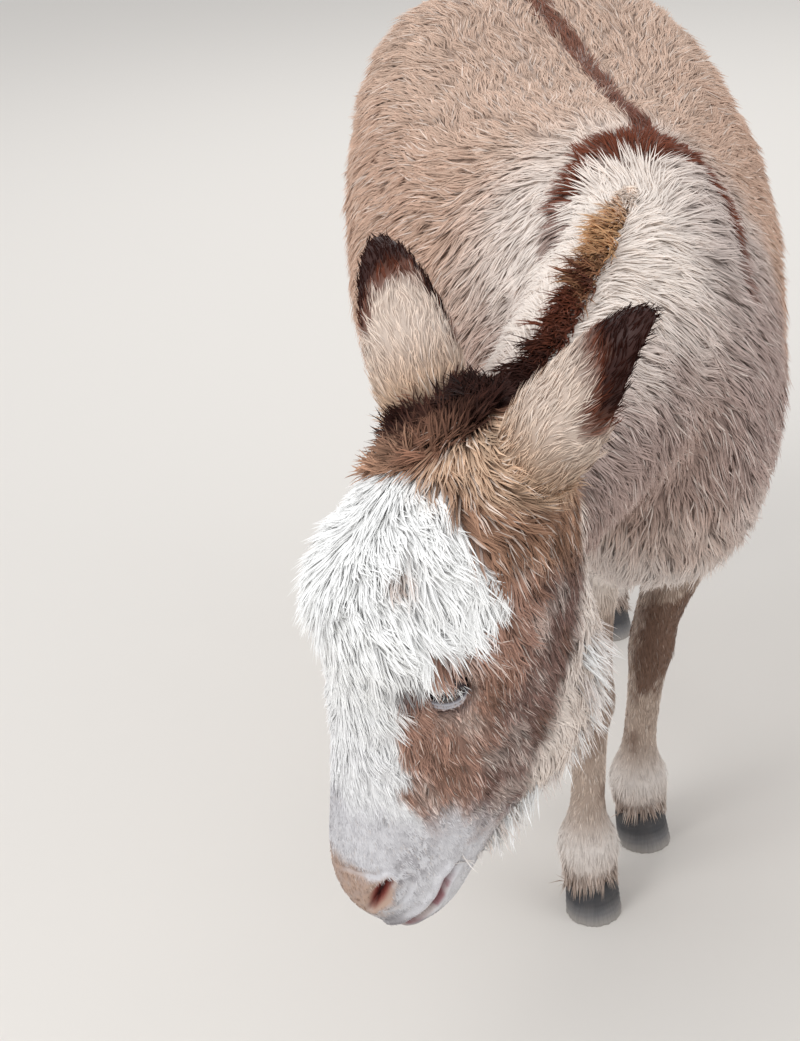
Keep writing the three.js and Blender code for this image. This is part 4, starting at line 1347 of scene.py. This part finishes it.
# The upper lids' lashes, pale and dark ones mixed, reach out over the eye.
lashSettings = {"many": 44, "long": 0.010, "wide": 0.00045, "pale": 0.45}
allRoots, allNormals, allLay = [], [], []
for sign in (1, -1):
    eye, out, slit, up = eyeFrame(sign)
    for k in range(lashSettings["many"]):
        c = -0.75 + 1.6 * rng.random()
        side = lidSettings["upperOpen"] * math.sqrt(max(0.0, 1 - c * c)) + 0.0012
        u = slit * c * lidSettings["halfLong"] + up * side
        reach = headSettings["eyeRadius"] + 0.0024
        base = eye + u + out * math.sqrt(max(reach * reach - u @ u, 1e-6))
        allRoots.append(fromHead(base))
        allNormals.append(headMatrix @ out)
        allLay.append(headMatrix @ (-up * 0.9 + slit * (0.8 * c + 0.4 * rng.normal())))
count = len(allRoots)
roots, normals, lay = np.array(allRoots), np.array(allNormals), np.array(allLay)
pale = rng.random(count) < lashSettings["pale"]
colours = np.where(pale[:, None], linear("white"), linear("lidDark"))
long = lashSettings["long"] * vary(0.6, 0.6, count)
wide = np.full(count, lashSettings["wide"])
lashes = longLocks("lashes", roots, normals, np.full(count, 2), lay, long, wide, colours, colours * 0.8,
                   rings=3, lift=(34, 8), settle=(12, 8), bend=0.25, gather=np.zeros((count, 3)))

# Eyeballs: a ball with the clear front swelling a little out of it.
eyeSettings = {"segments": 64, "rings": 40, "corneaOut": 0.0022, "corneaWide": 0.0125, "corneaTop": 0.985}


def makeEye(name, node, sign):
    low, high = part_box(node)
    centre = (Vector(low) + Vector(high)) / 2
    out = Vector(headMatrix @ np.array([sign, 0.0, 0.12]))
    turn = out.to_track_quat("Z", "Y")
    bpy.ops.object.select_all(action="DESELECT")
    bpy.ops.mesh.primitive_uv_sphere_add(segments=eyeSettings["segments"], ring_count=eyeSettings["rings"],
                                         radius=headSettings["eyeRadius"], location=centre,
                                         rotation=turn.to_euler())
    ball = bpy.context.object
    ball.name = name
    bpy.ops.object.transform_apply(location=True, rotation=True, scale=True)
    mesh = ball.data
    bpy.ops.object.mode_set(mode="EDIT")
    bpy.ops.mesh.select_all(action="DESELECT")
    bpy.ops.object.mode_set(mode="OBJECT")
    for vertex in mesh.vertices:
        vertex.select = (vertex.co - centre).normalized().dot(out.normalized()) > eyeSettings["corneaTop"]
    bpy.ops.object.mode_set(mode="EDIT")
    bpy.ops.transform.translate(value=out.normalized() * eyeSettings["corneaOut"], use_proportional_edit=True,
                                proportional_edit_falloff="SMOOTH",
                                proportional_size=eyeSettings["corneaWide"])
    bpy.ops.object.mode_set(mode="OBJECT")
    bpy.ops.object.shade_smooth()
    points = coordinates(mesh) - np.array(centre)
    slit = headMatrix @ np.array(lidSettings["lean"])
    axis = np.array(out.normalized())
    slit = slit - axis * (slit @ axis)
    slit /= np.linalg.norm(slit)
    gaze = np.stack([points @ slit, points @ np.cross(axis, slit), points @ axis], axis=1)
    setVectors(mesh, "gaze", gaze)
    return ball


eyes = [makeEye("eyeLeft", "eye_left", 1), makeEye("eyeRight", "eye_right", -1)]

# Hooves: the CAD's walls made smooth, with growth rings and a worn edge.
hoofSettings = {"voxel": 0.0016, "ringDeep": 0.00035, "ringApart": 0.0046, "wear": 0.0009}


def makeHoof(name, node):
    source = nodes[node]
    mesh = source.data.copy()
    hoof = newObject(name, mesh)
    mesh.transform(source.matrix_world)
    wholeMesh(hoof, bpy.ops.mesh.remove_doubles, threshold=sameSpot)
    voxelled(hoof, hoofSettings["voxel"])
    points = coordinates(mesh)
    pairs = edgePairs(mesh)
    smoothed = relax(points, pairs, 6)
    floorShare = ramp(points[:, 2], 0.004, 0.010)[:, None]
    points = points + (smoothed - points) * floorShare
    setCoordinates(mesh, points)
    normals = vertexNormals(mesh)
    middle = points.mean(axis=0)
    turn = np.arctan2(points[:, 1] - middle[1], points[:, 0] - middle[0])
    height = points[:, 2] + 0.0016 * np.sin(turn * 2 + 0.7) + 0.002 * (cloud(points, 0.02, 21) - 0.5)
    rings = np.sin(height / hoofSettings["ringApart"] * 2 * math.pi)
    wall = ramp(1 - np.abs(normals[:, 2]), 0.35, 0.7) * ramp(points[:, 2], 0.003, 0.008)
    wear = (cloud(points, 0.006, 22) - 0.55) * ramp(points[:, 2], 0.012, 0.002) * hoofSettings["wear"] * 2
    grain = (cloud(np.stack([turn * 0.03, points[:, 2] * 0.05, turn * 0], axis=1), 0.0009, 23) - 0.5) * 0.0002
    shift = wall * (hoofSettings["ringDeep"] * rings + grain) + np.minimum(wear, 0)
    points = points + normals * shift[:, None]
    points[:, 2] = np.maximum(points[:, 2], 0.0)
    setCoordinates(mesh, points)
    bpy.ops.object.shade_smooth()
    strand = np.stack([turn * 0.03, points[:, 2], height], axis=1)
    setVectors(mesh, "strand", strand)
    return hoof


hooves = [makeHoof("hoof" + "ABCD"[i], node) for i, node in enumerate(hoofNodes)]
print("hooves:", sum(len(h.data.polygons) for h in hooves), "faces")


# Materials.
def feed(tree, socket, value):
    # A socket takes what another one gives out, or else a plain value.
    if isinstance(value, bpy.types.NodeSocket):
        tree.links.new(value, socket)
    else:
        socket.default_value = value


def nodeIn(tree, kind, place, inputs=None, **values):
    node = tree.nodes.new(kind)
    node.location = place
    for key, value in values.items():
        setattr(node, key, value)
    for key, value in (inputs or {}).items():
        feed(tree, node.inputs[key], value)
    return node


def calc(tree, operation, *values, place=(0, 0)):
    return nodeIn(tree, "ShaderNodeMath", place, dict(enumerate(values)), operation=operation).outputs[0]


def newGroup(name, more):
    # Each group takes a colour, and more, and gives out a colour, a roughness and a height.
    group = bpy.data.node_groups.new(name, "ShaderNodeTree")
    for label, kind, value in [("Colour", "Color", (0.5, 0.4, 0.3, 1))] + more:
        socket = group.interface.new_socket(name=label, in_out="INPUT", socket_type="NodeSocket" + kind)
        if value is not None:
            socket.default_value = value
    for label, kind in (("Colour", "Color"), ("Roughness", "Float"), ("Height", "Float")):
        group.interface.new_socket(name=label, in_out="OUTPUT", socket_type="NodeSocket" + kind)
    return group, nodeIn(group, "NodeGroupInput", (-900, 0)), nodeIn(group, "NodeGroupOutput", (900, 0))


def giveOut(group, ins, outs, noise, gain, roughShare, roughLeast, height):
    # The noise lightens and darkens the colour by the contrast asked for, and roughens the surface.
    centred = calc(group, "SUBTRACT", noise, 0.5, place=(-100, -100))
    scaled = calc(group, "MULTIPLY", centred, ins.outputs["Contrast"], place=(50, -100))
    factor = calc(group, "MULTIPLY_ADD", scaled, gain, 1.0, place=(250, -100))
    tint = nodeIn(group, "ShaderNodeVectorMath", (450, 50), operation="SCALE",
                  inputs={0: ins.outputs["Colour"], "Scale": factor})
    feed(group, outs.inputs["Colour"], tint.outputs[0])
    rough = calc(group, "MULTIPLY_ADD", noise, roughShare, roughLeast, place=(450, -150))
    feed(group, outs.inputs["Roughness"], rough)
    feed(group, outs.inputs["Height"], height)
    return group


def strandGroup():
    # Fine lines along hair or horn: across and along are metres on the piece's own "strand" attribute.
    group, ins, outs = newGroup("fineStrands", [
        ("Strand", "Vector", None), ("Across", "Float", 900.0), ("Along", "Float", 60.0),
        ("Contrast", "Float", 0.3)])
    size = nodeIn(group, "ShaderNodeCombineXYZ", (-700, -200),
                  {0: ins.outputs["Across"], 1: ins.outputs["Along"], 2: 1.0})
    place = nodeIn(group, "ShaderNodeVectorMath", (-500, -100), operation="MULTIPLY",
                   inputs={0: ins.outputs["Strand"], 1: size.outputs[0]})
    noise = nodeIn(group, "ShaderNodeTexNoise", (-300, -100),
                   {"Scale": 1.0, "Detail": 2.5, "Roughness": 0.6, "Vector": place.outputs[0]}).outputs["Fac"]
    return giveOut(group, ins, outs, noise, gain=2.0, roughShare=0.35, roughLeast=0.42, height=noise)


def poreGroup():
    # Short flat hair and pores on skin, from its own place in space.
    group, ins, outs = newGroup("skinPores", [("Size", "Float", 700.0), ("Contrast", "Float", 0.2)])
    spot = nodeIn(group, "ShaderNodeTexCoord", (-900, -300)).outputs["Object"]
    where = {"Vector": spot, "Scale": ins.outputs["Size"]}
    noise = nodeIn(group, "ShaderNodeTexNoise", (-500, -100), {"Detail": 3.0, **where}).outputs["Fac"]
    cells = nodeIn(group, "ShaderNodeTexVoronoi", (-500, -400), where)
    height = calc(group, "MULTIPLY", cells.outputs["Distance"], noise, place=(250, -350))
    return giveOut(group, ins, outs, noise, gain=1.0, roughShare=0.3, roughLeast=0.38, height=height)


strands = strandGroup()
pores = poreGroup()


def newMaterial(name, **values):
    material = bpy.data.materials.new(name)
    material.use_nodes = True
    tree = material.node_tree
    shader = tree.nodes["Principled BSDF"]
    for label, value in values.items():
        shader.inputs[label.replace("_", " ")].default_value = value
    return material, tree, shader


def attribute(tree, name, output, place=(-900, 0)):
    return nodeIn(tree, "ShaderNodeAttribute", place, attribute_name=name).outputs[output]


def colourStops(tree, place, factor, stops):
    node = nodeIn(tree, "ShaderNodeValToRGB", place, {"Fac": factor})
    elements = node.color_ramp.elements
    while len(elements) < len(stops):
        elements.new(0.5)
    for element, (at, colour) in zip(elements, stops):
        element.position = at
        element.color = (*colour, 1)
    return node.outputs["Color"]


def detailed(tree, shader, group, inputs, strength, distance):
    # A group's colour, roughness and relief on a shader.
    fine = nodeIn(tree, "ShaderNodeGroup", (-500, 0), inputs, node_tree=group)
    bump = nodeIn(tree, "ShaderNodeBump", (-200, -350),
                  {"Strength": strength, "Distance": distance, "Height": fine.outputs["Height"]})
    feed(tree, shader.inputs["Base Color"], fine.outputs["Colour"])
    feed(tree, shader.inputs["Roughness"], fine.outputs["Roughness"])
    feed(tree, shader.inputs["Normal"], bump.outputs["Normal"])


def hairMaterial(name, across, along, contrast, relief, sheen, gloss):
    material, tree, shader = newMaterial(name, Specular_IOR_Level=gloss, Sheen_Weight=sheen,
                                         Sheen_Roughness=0.5)
    inputs = {"Colour": attribute(tree, "paint", "Color"), "Across": across, "Along": along,
              "Strand": attribute(tree, "strand", "Vector", (-900, -250)), "Contrast": contrast}
    detailed(tree, shader, strands, inputs, strength=relief, distance=0.0006)
    return material


coatMaterial = hairMaterial("winterCoat", across=1150, along=70, contrast=0.34, relief=0.55,
                            sheen=0.01, gloss=0.07)
shortMaterial = hairMaterial("shortCoat", across=2200, along=150, contrast=0.28, relief=0.45,
                             sheen=0.03, gloss=0.14)
longMaterial = hairMaterial("maneAndTailHair", across=1300, along=40, contrast=0.42, relief=0.6,
                            sheen=0.01, gloss=0.10)

skinMaterial, tree, shader = newMaterial("skinUnderCoat", Specular_IOR_Level=0.32)
skinInputs = {"Colour": attribute(tree, "paint", "Color"), "Size": 900, "Contrast": 0.16}
detailed(tree, shader, pores, skinInputs, strength=0.30, distance=0.0005)

# Horn: worn pale at the ground, black above, greyish at the coronet, with a little dust on it.
hornSettings = {
    "height": 0.047,
    "stops": [(0.0, (0.32, 0.30, 0.28)), (0.22, (0.13, 0.13, 0.135)), (0.42, (0.018, 0.023, 0.032)),
              (0.85, (0.012, 0.015, 0.021)), (1.0, (0.10, 0.085, 0.075))],
    "dust": (0.36, 0.30, 0.25, 1),
    "dustShare": 0.22,
}
hornMaterial, tree, shader = newMaterial("hoofHorn", Specular_IOR_Level=0.4)
spot = nodeIn(tree, "ShaderNodeTexCoord", (-1300, 200)).outputs["Object"]
upward = nodeIn(tree, "ShaderNodeSeparateXYZ", (-1100, 200), {0: spot}).outputs[2]
heightShare = calc(tree, "MULTIPLY", upward, 1 / hornSettings["height"], place=(-1000, 100))
tones = colourStops(tree, (-900, 300), heightShare, hornSettings["stops"])
dusty = nodeIn(tree, "ShaderNodeTexNoise", (-900, -500), {"Scale": 60, "Detail": 5, "Vector": spot})
dustShare = calc(tree, "MULTIPLY", dusty.outputs["Fac"], hornSettings["dustShare"], place=(-700, -500))
dust = nodeIn(tree, "ShaderNodeMix", (-650, 300), data_type="RGBA",
              inputs={"Factor": dustShare, "A": tones, "B": hornSettings["dust"]})
hornInputs = {"Colour": dust.outputs["Result"], "Strand": attribute(tree, "strand", "Vector", (-900, -250)),
              "Across": 900, "Along": 40, "Contrast": 0.35}
detailed(tree, shader, strands, hornInputs, strength=0.4, distance=0.0004)

# The eye: slotted pupil, brown iris with fibres, dark rim, dull white at the edge; a wet coat over all.
eyeColours = [(0.0, (0.020, 0.012, 0.010)), (0.50, (0.060, 0.032, 0.020)), (0.72, (0.012, 0.009, 0.010)),
              (0.80, (0.016, 0.012, 0.013)), (0.94, (0.10, 0.075, 0.070))]
eyeMaterial, tree, shader = newMaterial("wetEye", Roughness=0.18, Coat_Weight=1.0, Coat_Roughness=0.03,
                                        Specular_IOR_Level=0.5)
gaze = attribute(tree, "gaze", "Vector", (-1500, 0))
along, across = nodeIn(tree, "ShaderNodeSeparateXYZ", (-1300, 0), {0: gaze}).outputs[:2]
along = calc(tree, "MULTIPLY", along, along, place=(-1100, 100))
across = calc(tree, "MULTIPLY", across, across, place=(-1100, -50))
radius = calc(tree, "SQRT", calc(tree, "ADD", along, across, place=(-950, 50)), place=(-850, 50))
outward = calc(tree, "MULTIPLY", radius, 1 / 0.016, place=(-750, 100))
bands = colourStops(tree, (-600, 100), outward, eyeColours)
fibres = nodeIn(tree, "ShaderNodeTexNoise", (-900, -300), {"Scale": 900, "Detail": 4, "Vector": gaze})
fibreShare = calc(tree, "MULTIPLY_ADD", fibres.outputs["Fac"], 0.9, 0.55, place=(-500, -300))
fibred = nodeIn(tree, "ShaderNodeVectorMath", (-350, 100), {0: bands, "Scale": fibreShare}, operation="SCALE")
longWay = calc(tree, "MULTIPLY", along, 0.40, place=(-900, -100))
slot = calc(tree, "MULTIPLY_ADD", across, 2.2, longWay, place=(-750, -100))
slot = calc(tree, "SQRT", slot, place=(-600, -100))
pupil = nodeIn(tree, "ShaderNodeMapRange", (-400, -150),
               {"Value": slot, "From Min": 0.0046, "From Max": 0.0054}).outputs["Result"]
whole = nodeIn(tree, "ShaderNodeMix", (-150, 100), data_type="RGBA",
               inputs={"A": (0.003, 0.003, 0.004, 1), "Factor": pupil, "B": fibred.outputs[0]})
feed(tree, shader.inputs["Base Color"], whole.outputs["Result"])


def dress(piece, material, slot, *stoodFor):
    piece.data.materials.clear()
    piece.data.materials.append(material)
    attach(piece, "root")
    if stoodFor:
        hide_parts(*stoodFor)


dress(skin, skinMaterial, "coat", *fleshNodes)
for piece in coat:
    isShort = piece.name in ("coatMuzzle", "coatForelegs", "coatHindlegs")
    dress(piece, shortMaterial if isShort else coatMaterial, "coat")
dress(maneHair, longMaterial, "long_hair", "mane")
dress(pollHair, longMaterial, "long_hair")
dress(jawFringe, coatMaterial, "coat")
dress(tailDock, skinMaterial, "coat")
setColour(tailDock.data, "paint", plain("flank", len(tailDock.data.vertices)) * 0.6)
dress(tailHair, longMaterial, "long_hair", "tail")
dress(lashes, shortMaterial, "coat")
for piece, node in zip(eyes, ("eye_left", "eye_right")):
    dress(piece, eyeMaterial, "eye", node)
for piece, node in zip(hooves, hoofNodes):
    dress(piece, hornMaterial, "hoof", node)

# Floor, light and camera.
studio = {
    "floor": (0.74, 0.71, 0.67),
    "aim": (0.0, -0.2, 0.55),
    "keyAt": (-2.4, -2.2, 3.6), "key": 92, "keySize": 3.0,
    "fillAt": (2.8, -2.2, 1.9), "fill": 26, "fillSize": 2.8,
    "rimAt": (0.6, 3.2, 3.0), "rim": 40, "rimSize": 2.8,
    "sky": 0.74, "skyColour": (0.97, 0.98, 1.0, 1),
    "camera": (-0.3615, -2.0069, 1.36), "lens": 72.6,
    "heading": -5.5, "tilt": 64.9, "roll": -4.95,
}
bpy.ops.object.select_all(action="DESELECT")
bpy.ops.mesh.primitive_plane_add(size=40, location=(0, 0, 0))
floor = bpy.context.object
floor.name = "floor"
floorMaterial, tree, shader = newMaterial("paleFloor", Roughness=0.85, Specular_IOR_Level=0.2)
shader.inputs["Base Color"].default_value = (*studio["floor"], 1)
floor.data.materials.append(floorMaterial)

world = bpy.data.worlds.new("studio")
bpy.context.scene.world = world
world.use_nodes = True
background = world.node_tree.nodes["Background"]
background.inputs["Color"].default_value = studio["skyColour"]
background.inputs["Strength"].default_value = studio["sky"]


def softLight(name, place, power, size):
    data = bpy.data.lights.new(name, "AREA")
    data.energy = power
    data.size = size
    lamp = bpy.data.objects.new(name, data)
    lamp.location = place
    lamp.rotation_euler = (Vector(studio["aim"]) - Vector(place)).to_track_quat("-Z", "Y").to_euler()
    bpy.context.scene.collection.objects.link(lamp)


for name in ("key", "fill", "rim"):
    softLight(name, studio[name + "At"], studio[name], studio[name + "Size"])

cameraData = bpy.data.cameras.new("camera")
cameraData.lens = studio["lens"]
cameraData.sensor_width = 36
camera = bpy.data.objects.new("camera", cameraData)
bpy.context.scene.collection.objects.link(camera)
camera.location = studio["camera"]
heading, tilt, roll = (Matrix.Rotation(math.radians(studio[key]), 3, axis)
                       for key, axis in (("heading", "Z"), ("tilt", "X"), ("roll", "Z")))
camera.rotation_euler = (heading @ tilt @ roll).to_euler()
bpy.context.scene.camera = camera
bpy.context.scene.view_settings.view_transform = "Standard"
